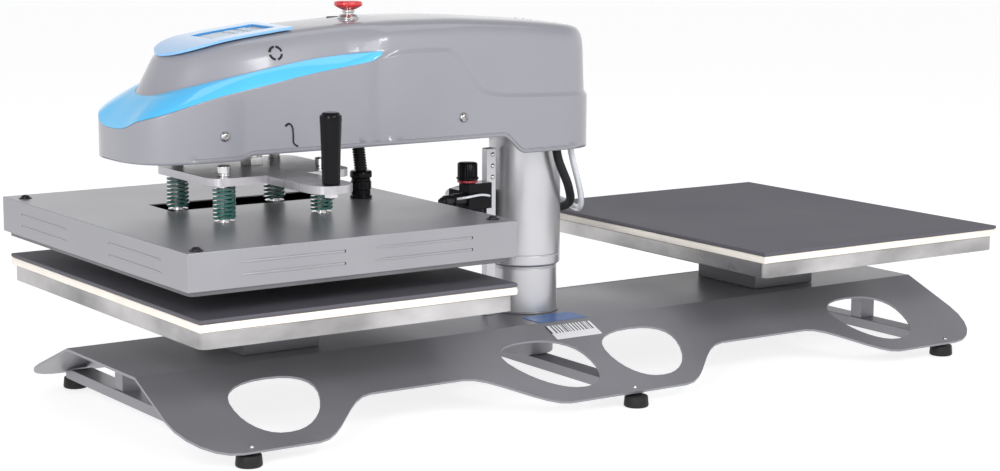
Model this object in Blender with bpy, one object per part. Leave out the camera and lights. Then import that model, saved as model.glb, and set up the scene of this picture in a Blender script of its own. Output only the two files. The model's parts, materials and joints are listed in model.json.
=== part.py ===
"""Swing-head pneumatic heat press with two 400 x 500 mm work stations.

Frame: origin on the floor under the column, +X to the right-hand station,
+Y to the back, +Z up.  Sizes are in millimetres below and become metres in
the mesh helpers.
"""
import math

import bmesh
import bpy
from mathutils import Matrix, Vector

MM = 0.001
GAP = 0.3               # air left between pieces that touch

# ---- driving dimensions, millimetres -------------------------------------
STATION_X = 383.5       # pad centre, either side of the column
PAD_W, PAD_D = 400.0, 500.0
PAD_TOP = 170.3
COVER_T, FOAM_T, BED_T = 4.7, 9.2, 19.0
BASE_HALF_X, TOP_HALF_Y, TOP_Z = 583.6, 91.6, 80.2
SHEET = 3.0             # base sheet thickness
FLANGE_DROP = math.atan2(60.2, 146.4)
FOOT_X, FOOT_R, FOOT_H = 515.0, 15.0, 13.4
FOOT_Y, CENTRE_FOOT_Y = 225.0, 235.0
CHANNEL_Z = FOOT_H + GAP
POST_R, SHOULDER_Z, SLEEVE_R = 41.0, 141.0, 45.0
SPINDLE_R, BUSH_R = 30.0, 34.7
SLEEVE_TOP = 402.0
RAM_X = -387.0          # cylinder and heat platen centre
STROKE = 22.5           # ram travel
FLOAT = 8.0             # platen float on its four springs
HEAT_W, HEAT_D = 404.0, 482.0
HEAT_Z0, HEAT_Z1 = 193.5, 212.0
HOOD_X0, HOOD_X1 = -593.8, -180.4
HOOD_Y = 245.8
HOOD_Z0, HOOD_Z1, HOOD_T = 199.1, 240.6, 2.0
WINDOW = (-476.0, -262.0, 29.0, 90.0)       # opening in the hood's top
PLATE_Z0, PLATE_Z1 = 283.0, 292.0
SPRINGS = ((-462.0, 41.0), (-461.0, -73.0), (-335.0, 41.0), (-334.0, -70.0))
SPRING_R, SPRING_BORE = 13.0, 8.4
GRIP_X, GRIP_Y = -394.0, -196.0
STOP_X = -255.5         # emergency stop on the head's centre line
STOP_BORE = 8.6         # hole in the roof for its stem
NOSE_X, TAIL_X, HEAD_W = -563.0, 63.0, 85.0
SHELL_T = 3.2
BAR_X, BAR_Y = -60.0, -8.5
GLAND_X, GLAND_Y = -237.0, 4.0
REGULATOR_X, REGULATOR_Y = -96.0, -14.8


# ---- scene and mesh helpers ----------------------------------------------
def clear_scene():
    for obj in list(bpy.data.objects):
        bpy.data.objects.remove(obj, do_unlink=True)


def material(name, colour, roughness, metallic):
    mat = bpy.data.materials.new(name)
    mat.use_nodes = True
    shader = mat.node_tree.nodes["Principled BSDF"]
    shader.inputs["Base Color"].default_value = (*colour, 1.0)
    shader.inputs["Roughness"].default_value = roughness
    shader.inputs["Metallic"].default_value = metallic
    mat.diffuse_color = (*colour, 1.0)
    return mat


def from_bmesh(bm, name, mat, smooth=False):
    """Make one object from a bmesh drawn in millimetres."""
    bmesh.ops.recalc_face_normals(bm, faces=bm.faces)
    bmesh.ops.scale(bm, vec=(MM, MM, MM), verts=bm.verts)
    mesh = bpy.data.meshes.new(name)
    bm.to_mesh(mesh)
    bm.free()
    obj = bpy.data.objects.new(name, mesh)
    bpy.context.collection.objects.link(obj)
    mesh.materials.append(mat)
    if smooth:
        mesh.shade_smooth()
        mesh.set_sharp_from_angle(angle=math.radians(35))
    return obj


def add_prism(bm, outline, low, high, turn=None):
    """Extrude a closed 2-D outline from z=low to z=high."""
    ring = [bm.verts.new((x, y, low)) for x, y in outline]
    face = bm.faces.new(ring)
    grown = bmesh.ops.extrude_face_region(bm, geom=[face])
    tops = [g for g in grown["geom"] if isinstance(g, bmesh.types.BMVert)]
    bmesh.ops.translate(bm, vec=(0, 0, high - low), verts=tops)
    if turn is not None:
        bmesh.ops.transform(bm, matrix=turn, verts=ring + tops)


def prism(name, outline, low, high, mat, turn=None, smooth=False):
    bm = bmesh.new()
    add_prism(bm, outline, low, high, turn)
    return from_bmesh(bm, name, mat, smooth)


def box(name, x0, x1, y0, y1, z0, z1, mat):
    return prism(name, ((x0, y0), (x1, y0), (x1, y1), (x0, y1)), z0, z1, mat)


def rounded(x0, x1, y0, y1, radius, steps=5):
    """Rectangle with round corners, as a closed outline."""
    centres = ((x1 - radius, y1 - radius, 0), (x0 + radius, y1 - radius, 90),
               (x0 + radius, y0 + radius, 180), (x1 - radius, y0 + radius, 270))
    points = []
    for cx, cy, start in centres:
        for i in range(steps + 1):
            a = math.radians(start + 90.0 * i / steps)
            points.append((cx + radius * math.cos(a), cy + radius * math.sin(a)))
    return points


def ellipse(cx, cy, rx, ry, steps=32, power=2.0):
    points = []
    for i in range(steps):
        a = 2.0 * math.pi * i / steps
        c, s = math.cos(a), math.sin(a)
        points.append((cx + rx * math.copysign(abs(c) ** (2.0 / power), c),
                       cy + ry * math.copysign(abs(s) ** (2.0 / power), s)))
    return points


def turned(name, profile, mat, at=(0.0, 0.0), steps=32, axis="Z", pivot=None):
    """Turn a closed (radius, height) profile; a profile that starts and ends
    on radius 0 makes a solid, any other makes a ring."""
    bm = bmesh.new()
    solid = profile[0][0] == 0.0
    rings = []
    for radius, height in profile:
        if radius == 0.0:
            rings.append([bm.verts.new((0.0, 0.0, height))])
        else:
            rings.append([bm.verts.new((radius * math.cos(2 * math.pi * i / steps),
                                        radius * math.sin(2 * math.pi * i / steps),
                                        height)) for i in range(steps)])
    pairs = list(zip(rings, rings[1:]))
    if not solid:
        pairs.append((rings[-1], rings[0]))
    for low, high in pairs:
        for i in range(steps):
            j = (i + 1) % steps
            corners = [low[i % len(low)], low[j % len(low)],
                       high[j % len(high)], high[i % len(high)]]
            unique = list(dict.fromkeys(corners))
            bm.faces.new(unique)
    if axis == "X":
        bmesh.ops.rotate(bm, verts=bm.verts, matrix=Matrix.Rotation(math.pi / 2, 3, "Y"))
    obj = from_bmesh(bm, name, mat, smooth=True)
    if len(at) == 2:
        at = (at[0], at[1], 0.0)
    obj.location = Vector(at) * MM
    if pivot is not None:
        set_origin(obj, pivot)
    return obj


def set_origin(obj, point):
    """Move an object's origin to a world point, leaving its mesh in place."""
    here = Vector(point) * MM
    obj.data.transform(Matrix.Translation(obj.location - here))
    obj.location = here


def weld(mesh):
    """Merge the doubled corners that a Boolean can leave."""
    bm = bmesh.new()
    bm.from_mesh(mesh)
    bmesh.ops.remove_doubles(bm, verts=bm.verts, dist=2e-6)
    bm.to_mesh(mesh)
    bm.free()


def combine(target, other, operation):
    """Apply one exact Boolean and drop the other object."""
    mod = target.modifiers.new(operation.lower(), "BOOLEAN")
    mod.operation = operation
    mod.solver = "EXACT"
    mod.object = other
    graph = bpy.context.evaluated_depsgraph_get()
    mesh = bpy.data.meshes.new_from_object(target.evaluated_get(graph))
    target.modifiers.remove(mod)
    weld(mesh)
    old = target.data
    target.data = mesh
    bpy.data.meshes.remove(old)
    bpy.data.objects.remove(other, do_unlink=True)
    return target


def cut(target, other):
    return combine(target, other, "DIFFERENCE")


def join(target, other):
    return combine(target, other, "UNION")


def ease(x, x0, y0, x1, y1):
    """Smooth step from y0 at x0 to y1 at x1."""
    t = min(1.0, max(0.0, (x - x0) / (x1 - x0)))
    return y0 + (y1 - y0) * t * t * (3.0 - 2.0 * t)


def along(points, x):
    """Straight-line interpolation through (x, value) points."""
    if x <= points[0][0]:
        return points[0][1]
    for (xa, va), (xb, vb) in zip(points, points[1:]):
        if x <= xb:
            return va + (vb - va) * (x - xa) / (xb - xa)
    return points[-1][1]


# ---- materials -----------------------------------------------------------
def make_materials():
    return {
        "paint": material("grey_paint", (0.42, 0.43, 0.45), 0.32, 0.6),
        "casing": material("casing_paint", (0.44, 0.45, 0.48), 0.35, 0.0),
        "blue": material("blue_plastic", (0.05, 0.42, 0.85), 0.15, 0.0),
        "steel": material("bright_steel", (0.62, 0.62, 0.63), 0.25, 1.0),
        "alu": material("cast_aluminium", (0.66, 0.66, 0.67), 0.35, 1.0),
        "bronze": material("bush_bronze", (0.55, 0.38, 0.18), 0.35, 1.0),
        "foam": material("silicone_foam", (0.82, 0.76, 0.66), 0.75, 0.0),
        "fabric": material("pad_cover", (0.09, 0.09, 0.11), 0.8, 0.0),
        "rubber": material("black_rubber", (0.03, 0.03, 0.03), 0.7, 0.0),
        "black": material("black_plastic", (0.03, 0.03, 0.035), 0.35, 0.0),
        "green": material("spring_green", (0.01, 0.20, 0.15), 0.35, 0.0),
        "red": material("stop_red", (0.62, 0.03, 0.03), 0.25, 0.0),
        "screen": material("screen_grey", (0.45, 0.46, 0.48), 0.2, 0.0),
        "clear": material("clear_hose", (0.75, 0.78, 0.82), 0.2, 0.0),
    }


# ---- base ----------------------------------------------------------------
FLANGE_LEN = 160.0      # slope length at the feet
ARCH_LEN = 88.0         # slope length over the arches between feet
END_X, END_RX, END_RS = 586.0, 58.0, 76.0      # ends, with elliptical corners
# each arch flank: x and slope length where it starts and ends
FLANKS = ((-435.0, FLANGE_LEN, -330.0, ARCH_LEN), (-205.0, ARCH_LEN, -98.0, FLANGE_LEN),
          (74.0, FLANGE_LEN, 184.0, ARCH_LEN), (322.0, ARCH_LEN, 428.0, FLANGE_LEN))
# each side hole: centre x and how far its foot leans sideways
HOLES = ((-449.0, -11.0), (-73.0, 11.0), (65.0, -10.0), (443.0, 3.0))
HOLE_HALF_X, HOLE_HALF_S, HOLE_S = 54.0, 52.0, 84.0
HOLE_NARROWING = 0.22


def flange_outline():
    """Outline of the sloping side, x along the base, y down the slope."""
    edge = [(-BASE_HALF_X, -1.0)]
    for i in range(7):
        a = math.radians(90.0 * i / 6)
        edge.append((-END_X + END_RX - END_RX * math.cos(a), FLANGE_LEN - END_RS * (1.0 - math.sin(a))))
    for x0, s0, x1, s1 in FLANKS:
        for i in range(9):
            x = x0 + (x1 - x0) * i / 8
            edge.append((x, ease(x, x0, s0, x1, s1)))
    for i in range(6, 0, -1):
        a = math.radians(90.0 * i / 6)
        edge.append((END_X - END_RX + END_RX * math.cos(a), FLANGE_LEN - END_RS * (1.0 - math.sin(a))))
    return edge + [(END_X, FLANGE_LEN - END_RS), (BASE_HALF_X, -1.0)]


def hole_outline(centre_x, lean):
    """Rounded hole that narrows and leans to one side down the slope."""
    points = []
    for x, v in ellipse(0.0, 0.0, HOLE_HALF_X, 1.0, steps=28, power=2.3):
        points.append((centre_x + x * (1.0 - HOLE_NARROWING * v) + lean * v, HOLE_S + HOLE_HALF_S * v))
    return points


def slope_matrix(side):
    """Places a flat flange on the fold line and tilts it down and outwards."""
    tilt = Matrix.Rotation(-FLANGE_DROP, 4, "X")
    flip = Matrix.Scale(-1.0, 4, (0, 1, 0)) if side < 0 else Matrix.Identity(4)
    return flip @ Matrix.Translation((0.0, TOP_HALF_Y, TOP_Z)) @ tilt


def build_base(mats):
    frame = box("base_frame", -BASE_HALF_X, BASE_HALF_X, -TOP_HALF_Y, TOP_HALF_Y,
                TOP_Z - SHEET, TOP_Z, mats["paint"])
    for side in (-1, 1):
        flange = prism("flange", flange_outline(), -SHEET, 0.0, mats["paint"], slope_matrix(side))
        for centre_x, lean in HOLES:
            cut(flange, prism("hole", hole_outline(centre_x, lean), -20.0, 20.0, mats["paint"],
                              slope_matrix(side)))
        join(frame, flange)
    # each pair of feet: name, x, how far out in y, height of the channel's tip
    feet = (("left", -FOOT_X, FOOT_Y, 22.6), ("centre", 0.0, CENTRE_FOOT_Y, 17.4),
            ("right", FOOT_X, FOOT_Y, 22.6))
    for name, x, y, tip_z in feet:
        reach = y - 3.0
        turn = Matrix.Translation((x - 14.0, 0.0, 0.0)) @ Matrix(((0, 0, 1, 0), (1, 0, 0, 0),
                                                               (0, 1, 0, 0), (0, 0, 0, 1)))
        outline = ((-reach, CHANNEL_Z), (reach, CHANNEL_Z), (reach, tip_z),
                   (205.0, 26.6), (-205.0, 26.6), (-reach, tip_z))
        prism("cross_channel_" + name, outline, 0.0, 28.0, mats["paint"], turn)
    profile = ((0.0, 0.0), (FOOT_R - 2.0, 0.0), (FOOT_R, 2.0), (FOOT_R - 1.5, FOOT_H), (0.0, FOOT_H))
    for row, side in (("front", -1.0), ("rear", 1.0)):
        for name, x, y, _ in feet:
            turned("foot_" + row + "_" + name, profile, mats["rubber"], (x, side * y), steps=20)
    turned("column_hub", ((0.0, 26.9), (37.0, 26.9), (37.0, TOP_Z - SHEET - GAP),
                          (0.0, TOP_Z - SHEET - GAP)), mats["paint"])
    turned("column_post", ((0.0, TOP_Z + GAP), (POST_R, TOP_Z + GAP), (POST_R, SHOULDER_Z - 1.0),
                           (POST_R - 1.0, SHOULDER_Z), (SPINDLE_R, SHOULDER_Z),
                           (SPINDLE_R, SLEEVE_TOP - 6.0), (0.0, SLEEVE_TOP - 6.0)), mats["paint"], steps=40)
    turned("thrust_washer", ((SPINDLE_R + GAP, SHOULDER_Z + GAP), (POST_R - 2.0, SHOULDER_Z + GAP),
                             (POST_R - 2.0, SHOULDER_Z + 3.7), (SPINDLE_R + GAP, SHOULDER_Z + 3.7)),
           mats["bronze"])


def build_stations(mats):
    bed_top = PAD_TOP - COVER_T - FOAM_T
    for name, sign in (("left", -1), ("right", 1)):
        x = sign * STATION_X
        half_w, half_d = PAD_W / 2, PAD_D / 2
        box("pad_support_" + name, x - 50.0, x + 50.0, -60.0, 60.0, TOP_Z + GAP,
            bed_top - BED_T - GAP, mats["paint"])
        bed = rounded(x - half_w + 2.5, x + half_w - 2.5, -half_d + 2.5, half_d - 2.5, 9.0)
        prism("lower_platen_" + name, bed, bed_top - BED_T, bed_top - GAP, mats["alu"])
        pad = rounded(x - half_w, x + half_w, -half_d, half_d, 2.0, steps=2)
        prism("silicone_pad_" + name, pad, bed_top, PAD_TOP - COVER_T - GAP, mats["foam"])
        prism("pad_cover_" + name, pad, PAD_TOP - COVER_T, PAD_TOP, mats["fabric"])


def build_air_unit(mats):
    box("air_unit_bar", BAR_X - 7.0, BAR_X + 7.0, BAR_Y - 5.5, BAR_Y + 5.5, TOP_Z + GAP, 290.5, mats["paint"])
    box("valve_body", BAR_X - 26.0, BAR_X + 10.0, BAR_Y + 5.5 + GAP, 43.4, 196.0, 236.0, mats["black"])
    at = (REGULATOR_X, REGULATOR_Y)
    block = box("regulator_body", REGULATOR_X - 5.0, BAR_X - 7.0 - GAP, -26.0, -3.4, 218.0, 250.0, mats["black"])
    neck = turned("neck", ((0.0, 249.0), (9.0, 249.0), (9.0, 254.2), (0.0, 254.2)), mats["black"], at, steps=24)
    join(block, neck)
    bowl = turned("bowl", ((0.0, 200.0), (8.0, 200.0), (10.5, 204.0), (10.5, 219.0), (0.0, 219.0)),
                  mats["black"], (REGULATOR_X + 11.0, REGULATOR_Y), steps=24)
    join(block, bowl)
    knob = ((0.0, 254.5), (13.0, 254.5), (13.8, 256.5), (12.6, 258.5), (12.6, 274.5), (11.4, 276.0),
            (0.0, 276.0))
    turned("regulator_knob", knob, mats["black"], at, steps=24, pivot=(*at, 254.5))
    fitting = ((0.0, -36.0), (5.0, -36.0), (7.0, -34.0), (7.0, -16.0), (8.5, -15.0), (8.5, -GAP), (0.0, -GAP))
    turned("inlet_fitting", fitting, mats["steel"], (REGULATOR_X - 5.0, REGULATOR_Y, 230.0), steps=20, axis="X")


# ---- head ----------------------------------------------------------------
TOP_LINE = ((-562, 380), (-506, 421), (-456, 437), (-396, 445.5), (-335, 452), (-274, 455.5),
            (-213, 457.5), (-152, 457), (-91, 454), (-30, 449.5), (20, 444), (63, 438))
LEDGE_LOW = ((-563, 345), (-555, 356), (-535, 364), (-510, 372), (-478, 380), (-404, 393), (-345, 403),
             (-275, 412), (-200, 418), (63, 405))
LEDGE_HIGH = ((-530, 378), (-522, 381), (-504, 388), (-469, 397), (-398, 410), (-336, 418.5), (-287, 422),
              (-200, 426), (63, 410))
NOSE_SHARE, NOSE_POWER = 0.85, 2.8      # where the nose starts and how square it is
SIDE_STEPS, NOSE_STEPS, CORNER_STEPS = 16, 9, 6


def rim_height(x):
    """Lower edge of the casing: nose, arched middle, deep tail."""
    if x < -350.0:
        return ease(x, -447.0, 309.0, -428.0, 314.0)
    return ease(x, -90.0, 314.0, -58.0, 292.0)


def half_plan(front, rear, width_front, width_rear, nose_len, power):
    """Half outline, rear centre to nose centre, on the -Y side.  The nose is
    a superellipse; every outline shares its stations along the length."""
    radius = width_rear - 25.0
    points = [(rear, 0.0), (rear, -12.5)]
    for i in range(CORNER_STEPS + 1):
        a = math.radians(90.0 * i / CORNER_STEPS)
        points.append((rear - radius + radius * math.cos(a), -25.0 - radius * math.sin(a)))
    shares = [NOSE_SHARE * i / SIDE_STEPS for i in range(1, SIDE_STEPS)]
    for i in range(NOSE_STEPS + 1):
        a = math.radians(90.0 * i / NOSE_STEPS)
        shares.append(NOSE_SHARE + (1.0 - NOSE_SHARE) * math.sin(a) ** (2.0 / NOSE_POWER))
    start = rear - radius
    for share in shares:
        x = start + (front - start) * share
        into_nose = min(1.0, max(0.0, (front + nose_len - x) / nose_len))
        taper = (1.0 - into_nose ** power) ** (1.0 / power)
        points.append((x, -ease(x, -300.0, width_front, -245.0, width_rear) * taper))
    points[-1] = (front, 0.0)
    return points


def casing_levels(inset):
    """Loops of the casing from rim to roof, drawn in by the wall inset."""
    t = inset
    plans = (
        (NOSE_X, TAIL_X, HEAD_W, HEAD_W, 85.0, NOSE_POWER, rim_height),
        (NOSE_X, TAIL_X, HEAD_W, HEAD_W, 85.0, NOSE_POWER, lambda x: along(LEDGE_LOW, x) - t * 0.7),
        (-525.0, TAIL_X - 1.0, 72.0, 83.0, 130.0, 2.3, lambda x: along(LEDGE_HIGH, x) - t * 0.7),
        (-512.0, TAIL_X - 4.0, 64.0, 79.0, 122.0, 2.3, lambda x: along(TOP_LINE, x) - 12.0 - t * 0.7),
        (-505.0, TAIL_X - 10.0, 55.0, 60.0, 112.0, 2.3, lambda x: along(TOP_LINE, x) - t),
    )
    loops = []
    for front, rear, width_front, width_rear, nose_len, power, height in plans:
        half = half_plan(front + t, rear - t, width_front - t, width_rear - t, nose_len - t, power)
        loop = [(x, y, height(x)) for x, y in half]
        loop += [(x, -y, height(x)) for x, y in reversed(half[1:-1])]
        loops.append(loop)
    return loops


def loft_shell(name, mat):
    """Outer and inner skins joined at the lower rim: a shell open below."""
    bm = bmesh.new()
    skins = []
    for inset in (0.0, SHELL_T):
        loops = [[bm.verts.new(p) for p in loop] for loop in casing_levels(inset)]
        count = len(loops[0])
        for low, high in zip(loops, loops[1:]):
            for i in range(count):
                j = (i + 1) % count
                bm.faces.new((low[i], low[j], high[j], high[i]))
        roof = loops[-1]
        bm.faces.new(roof[-3:] + roof[:4])      # the straight rear edge and one strip
        for i in range(3, count // 2):
            corners = (roof[i], roof[i + 1], roof[count - i - 1], roof[count - i])
            bm.faces.new(tuple(dict.fromkeys(corners)))
        skins.append(loops)
    outer, inner = skins[0][0], skins[1][0]
    count = len(outer)
    for i in range(count):
        j = (i + 1) % count
        bm.faces.new((outer[i], outer[j], inner[j], inner[i]))
    return from_bmesh(bm, name, mat, smooth=True)


def build_trim(mats):
    """Blue strip lying on the ledge round the nose, ends behind x = -275."""
    loops = casing_levels(0.0)
    low, high = loops[1], loops[2]
    bm = bmesh.new()
    rings = []
    for a, b in zip(low, high):
        if a[0] > -285.0:
            continue
        a, b = Vector(a), Vector(b)
        out = Vector((a.x - b.x, a.y - b.y, 0.0)).normalized()
        across = (b - a).normalized()
        normal = (out - across * out.dot(across)).normalized()
        normal = normal if normal.z > 0 else -normal
        inner_a, inner_b = a + across * 1.0, b - across * 1.0
        lift, thick = normal * 0.5, normal * 2.0
        rings.append([bm.verts.new(p) for p in (inner_a + lift, inner_b + lift,
                                                inner_b + thick, inner_a + thick)])
    for one, two in zip(rings, rings[1:]):
        for i in range(4):
            j = (i + 1) % 4
            bm.faces.new((one[i], one[j], two[j], two[i]))
    bm.faces.new(rings[0])
    bm.faces.new(rings[-1])
    return from_bmesh(bm, "blue_trim", mats["blue"])


def roof_slab(name, x0, x1, half_width, low, high, mat, steps=8, nose=0.0):
    """Slab that follows the head's roof line between two heights above it;
    its front end is a half ellipse of length nose."""
    bm = bmesh.new()
    rings = []
    for i in range(steps + 1):
        x = x0 + (x1 - x0) * i / steps
        z = along(TOP_LINE, x)
        half_y = half_width
        if x < x0 + nose:
            half_y = half_width * math.sqrt(max(0.05, 1.0 - ((x0 + nose - x) / nose) ** 2))
        rings.append([bm.verts.new(p) for p in ((x, -half_y, z + low), (x, half_y, z + low),
                                                (x, half_y, z + high), (x, -half_y, z + high))])
    for one, two in zip(rings, rings[1:]):
        for i in range(4):
            j = (i + 1) % 4
            bm.faces.new((one[i], one[j], two[j], two[i]))
    bm.faces.new(rings[0])
    bm.faces.new(rings[-1])
    return from_bmesh(bm, name, mat)


def build_head(mats):
    turned("swing_sleeve", ((BUSH_R + GAP, SHOULDER_Z + 4.0), (SLEEVE_R - 1.5, SHOULDER_Z + 4.0),
                            (SLEEVE_R, SHOULDER_Z + 5.5), (SLEEVE_R, SLEEVE_TOP),
                            (BUSH_R + GAP, SLEEVE_TOP)), mats["paint"], steps=40)
    turned("sleeve_bush", ((SPINDLE_R + 0.5, SHOULDER_Z + 5.0), (BUSH_R, SHOULDER_Z + 5.0),
                           (BUSH_R, SLEEVE_TOP - 10.0), (SPINDLE_R + 0.5, SLEEVE_TOP - 10.0)), mats["bronze"])
    beam = box("arm_beam", -338.0, -30.0, -36.0, 36.0, 342.0, 396.0, mats["paint"])
    collar = turned("collar", ((0.0, 336.0), (55.0, 336.0), (55.0, 400.0), (0.0, 400.0)), mats["paint"])
    join(beam, collar)
    mount = prism("mount", rounded(RAM_X - 52.0, -300.0, -52.0, 52.0, 16.0), 328.0, 344.0, mats["paint"])
    join(beam, mount)
    cut(beam, turned("bore", ((0.0, 300.0), (SLEEVE_R + GAP, 300.0), (SLEEVE_R + GAP, 420.0), (0.0, 420.0)),
                     mats["paint"], steps=40))
    cut(beam, turned("ram_bore", ((0.0, 300.0), (26.0, 300.0), (26.0, 360.0), (0.0, 360.0)), mats["paint"],
                     (RAM_X, 0.0)))
    casing = loft_shell("head_casing", mats["casing"])
    roof = along(TOP_LINE, STOP_X)
    cut(casing, turned("stop_hole", ((0.0, roof - 15.0), (STOP_BORE, roof - 15.0), (STOP_BORE, roof + 15.0),
                                     (0.0, roof + 15.0)), mats["casing"], (STOP_X, 0.0), steps=24))
    build_trim(mats)
    bezel = roof_slab("control_bezel", -503.0, -358.0, 50.0, 0.4, 3.4, mats["blue"], 18, 46.0)
    cut(bezel, roof_slab("window", -449.0, -369.0, 30.0, -5.0, 9.0, mats["blue"]))
    roof_slab("display_panel", -448.0, -370.0, 29.0, 0.4, 1.9, mats["screen"])


def build_ram(mats):
    """Air cylinder in the head; piston, rod and plate that travel with it."""
    turned("cylinder_bottom_cap", ((13.2, 318.0), (25.6, 318.0), (25.6, 344.4), (45.0, 344.4), (45.0, 354.0),
                                   (13.2, 354.0)), mats["alu"], (RAM_X, 0.0))
    turned("cylinder_barrel", ((36.0, 354.0 + GAP), (41.0, 354.0 + GAP), (41.0, 414.0), (36.0, 414.0)),
           mats["alu"], (RAM_X, 0.0))
    turned("cylinder_top_cap", ((0.0, 414.0 + GAP), (45.0, 414.0 + GAP), (45.0, 426.0), (0.0, 426.0)),
           mats["alu"], (RAM_X, 0.0))
    turned("piston", ((0.0, 394.0), (35.5, 394.0), (35.5, 412.0), (0.0, 412.0)), mats["alu"], (RAM_X, 0.0))
    turned("piston_rod", ((0.0, PLATE_Z0 + 1.0), (8.0, PLATE_Z0 + 1.0), (8.0, PLATE_Z1 + 10.0),
                          (12.5, PLATE_Z1 + 10.0), (12.5, 394.0 - GAP), (0.0, 394.0 - GAP)),
           mats["steel"], (RAM_X, 0.0))
    nut = ellipse(RAM_X, 0.0, 14.4, 14.4, steps=6)
    hexagon = prism("rod_nut", nut, PLATE_Z1 + GAP, PLATE_Z1 + 9.7, mats["steel"])
    cut(hexagon, turned("thread", ((0.0, 280.0), (8.3, 280.0), (8.3, 310.0), (0.0, 310.0)), mats["steel"],
                        (RAM_X, 0.0)))
    plate = prism("carrier_plate", rounded(-485.0, -305.0, -95.0, 60.0, 20.0), PLATE_Z0, PLATE_Z1, mats["alu"])
    join(plate, prism("arm", rounded(-419.0, -366.0, -212.0, -80.0, 24.0), PLATE_Z0, PLATE_Z1, mats["alu"]))
    holes = [(RAM_X, 0.0, 8.3)] + [(x, y, 6.6) for x, y in SPRINGS] + [(GRIP_X, GRIP_Y, 5.3)]
    for x, y, radius in holes:
        cut(plate, turned("hole", ((0.0, 270.0), (radius, 270.0), (radius, 300.0), (0.0, 300.0)),
                          mats["alu"], (x, y), steps=20))
    grip = ((0.0, PLATE_Z0 - 7.0), (5.0, PLATE_Z0 - 7.0), (5.0, PLATE_Z1 + GAP), (10.0, PLATE_Z1 + GAP),
            (10.2, 300.0), (12.2, 362.0), (12.2, 367.0), (9.5, 371.0), (0.0, 371.0))
    turned("handle_grip", grip, mats["black"], (GRIP_X, GRIP_Y), steps=24)


def build_heat_platen(mats):
    heater = rounded(RAM_X - HEAT_W / 2, RAM_X + HEAT_W / 2, -HEAT_D / 2, HEAT_D / 2, 8.0)
    prism("heat_platen", heater, HEAT_Z0, HEAT_Z1, mats["alu"])
    hood = box("platen_cover", HOOD_X0, HOOD_X1, -HOOD_Y, HOOD_Y, HOOD_Z0, HOOD_Z1, mats["paint"])
    cut(hood, box("inside", HOOD_X0 + HOOD_T, HOOD_X1 - HOOD_T, -HOOD_Y + HOOD_T, HOOD_Y - HOOD_T,
                  HOOD_Z0 - 5.0, HOOD_Z1 - HOOD_T, mats["paint"]))
    cut(hood, box("window", *WINDOW, HOOD_Z1 - 9.0, HOOD_Z1 + 9.0, mats["paint"]))
    outside = [p for p in SPRINGS if p[1] < 0.0]
    for x, y in outside:
        cut(hood, turned("hole", ((0.0, 230.0), (6.6, 230.0), (6.6, 250.0), (0.0, 250.0)), mats["paint"],
                         (x, y), steps=20))
    seat = HOOD_Z1 + GAP
    for i, (x, y) in enumerate(SPRINGS, 1):
        collar = 9.5 if y > 0.0 else 6.0
        bolt = ((0.0, HEAT_Z1 + GAP), (collar, HEAT_Z1 + GAP), (collar, seat + GAP), (6.0, seat + GAP),
                (6.0, PLATE_Z1 + GAP), (7.6, PLATE_Z1 + GAP), (7.6, 304.0), (0.0, 304.0))
        if y < 0.0:
            bolt = tuple(p for p in bolt if p[1] != seat + GAP)
        turned("spring_bolt_%d" % i, bolt, mats["steel"], (x, y), steps=20)
        foot = seat + 2 * GAP
        turned("spring_%d" % i, ((SPRING_BORE, foot), (SPRING_R, foot), (SPRING_R, PLATE_Z0 - GAP),
                                 (SPRING_BORE, PLATE_Z0 - GAP)), mats["green"], (x, y), steps=20)
    turned("conduit_gland", ((8.4, seat), (13.0, seat), (13.0, 262.0), (11.0, 264.0), (11.0, 268.0),
                             (13.5, 268.5), (13.5, 274.0), (8.4, 274.0)), mats["black"], (GLAND_X, GLAND_Y), steps=24)
    turned("wire_conduit", ((0.0, seat), (8.0, seat), (8.0, 322.0), (0.0, 322.0)), mats["black"],
           (GLAND_X, GLAND_Y), steps=20)


def build_stop_button(mats):
    roof = along(TOP_LINE, STOP_X)
    turned("stop_collar", ((STOP_BORE, roof + 0.6), (13.0, roof + 0.6), (13.0, roof + 3.5),
                           (11.0, roof + 5.5), (STOP_BORE, roof + 5.5)), mats["steel"], (STOP_X, 0.0), steps=24)
    turned("stop_stem", ((0.0, roof - 9.0), (8.0, roof - 9.0), (8.0, roof + 10.7), (0.0, roof + 10.7)),
           mats["red"], (STOP_X, 0.0), steps=24)
    turned("stop_button", ((0.0, roof + 11.0), (11.0, roof + 11.0), (16.8, roof + 15.0), (17.0, roof + 19.0),
                           (13.0, roof + 21.5), (0.0, roof + 22.0)), mats["red"], (STOP_X, 0.0), steps=28)


# ---- hose and cable from the turning head to the standing air unit ---------
def smooth_points(points, steps):
    """Catmull-Rom curve through the route's points."""
    ends = [points[0]] + list(points) + [points[-1]]
    result = []
    for i in range(1, len(ends) - 2):
        p0, p1, p2, p3 = (Vector(p) for p in ends[i - 1:i + 3])
        for k in range(steps):
            t = k / steps
            result.append(0.5 * (2 * p1 + (p2 - p0) * t + (2 * p0 - 5 * p1 + 4 * p2 - p3) * t * t
                                 + (3 * p1 - p0 - 3 * p2 + p3) * t ** 3))
    result.append(Vector(points[-1]))
    return result


CABLE_ROUTE = ((6.0, -56.0, 306.0), (12.0, -56.0, 276.0), (34.0, -47.0, 240.0), (56.0, -18.0, 214.0),
               (56.0, 22.0, 202.0), (28.0, 56.0, 204.0), (-16.0, 68.0, 208.0), (-46.0, 66.0, 210.0),
               (-55.0, 54.0, 210.0), (-55.0, 44.6, 210.0))
HOSE_ROUTE = ((36.0, -43.0, 306.0), (43.0, -42.0, 276.0), (61.0, -36.0, 228.0), (71.0, -18.0, 206.0),
              (73.0, 22.0, 212.0), (46.0, 62.0, 224.0), (-8.0, 84.0, 230.0), (-60.0, 78.0, 226.0),
              (-76.0, 58.0, 222.0), (-77.0, 44.6, 222.0))


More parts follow.
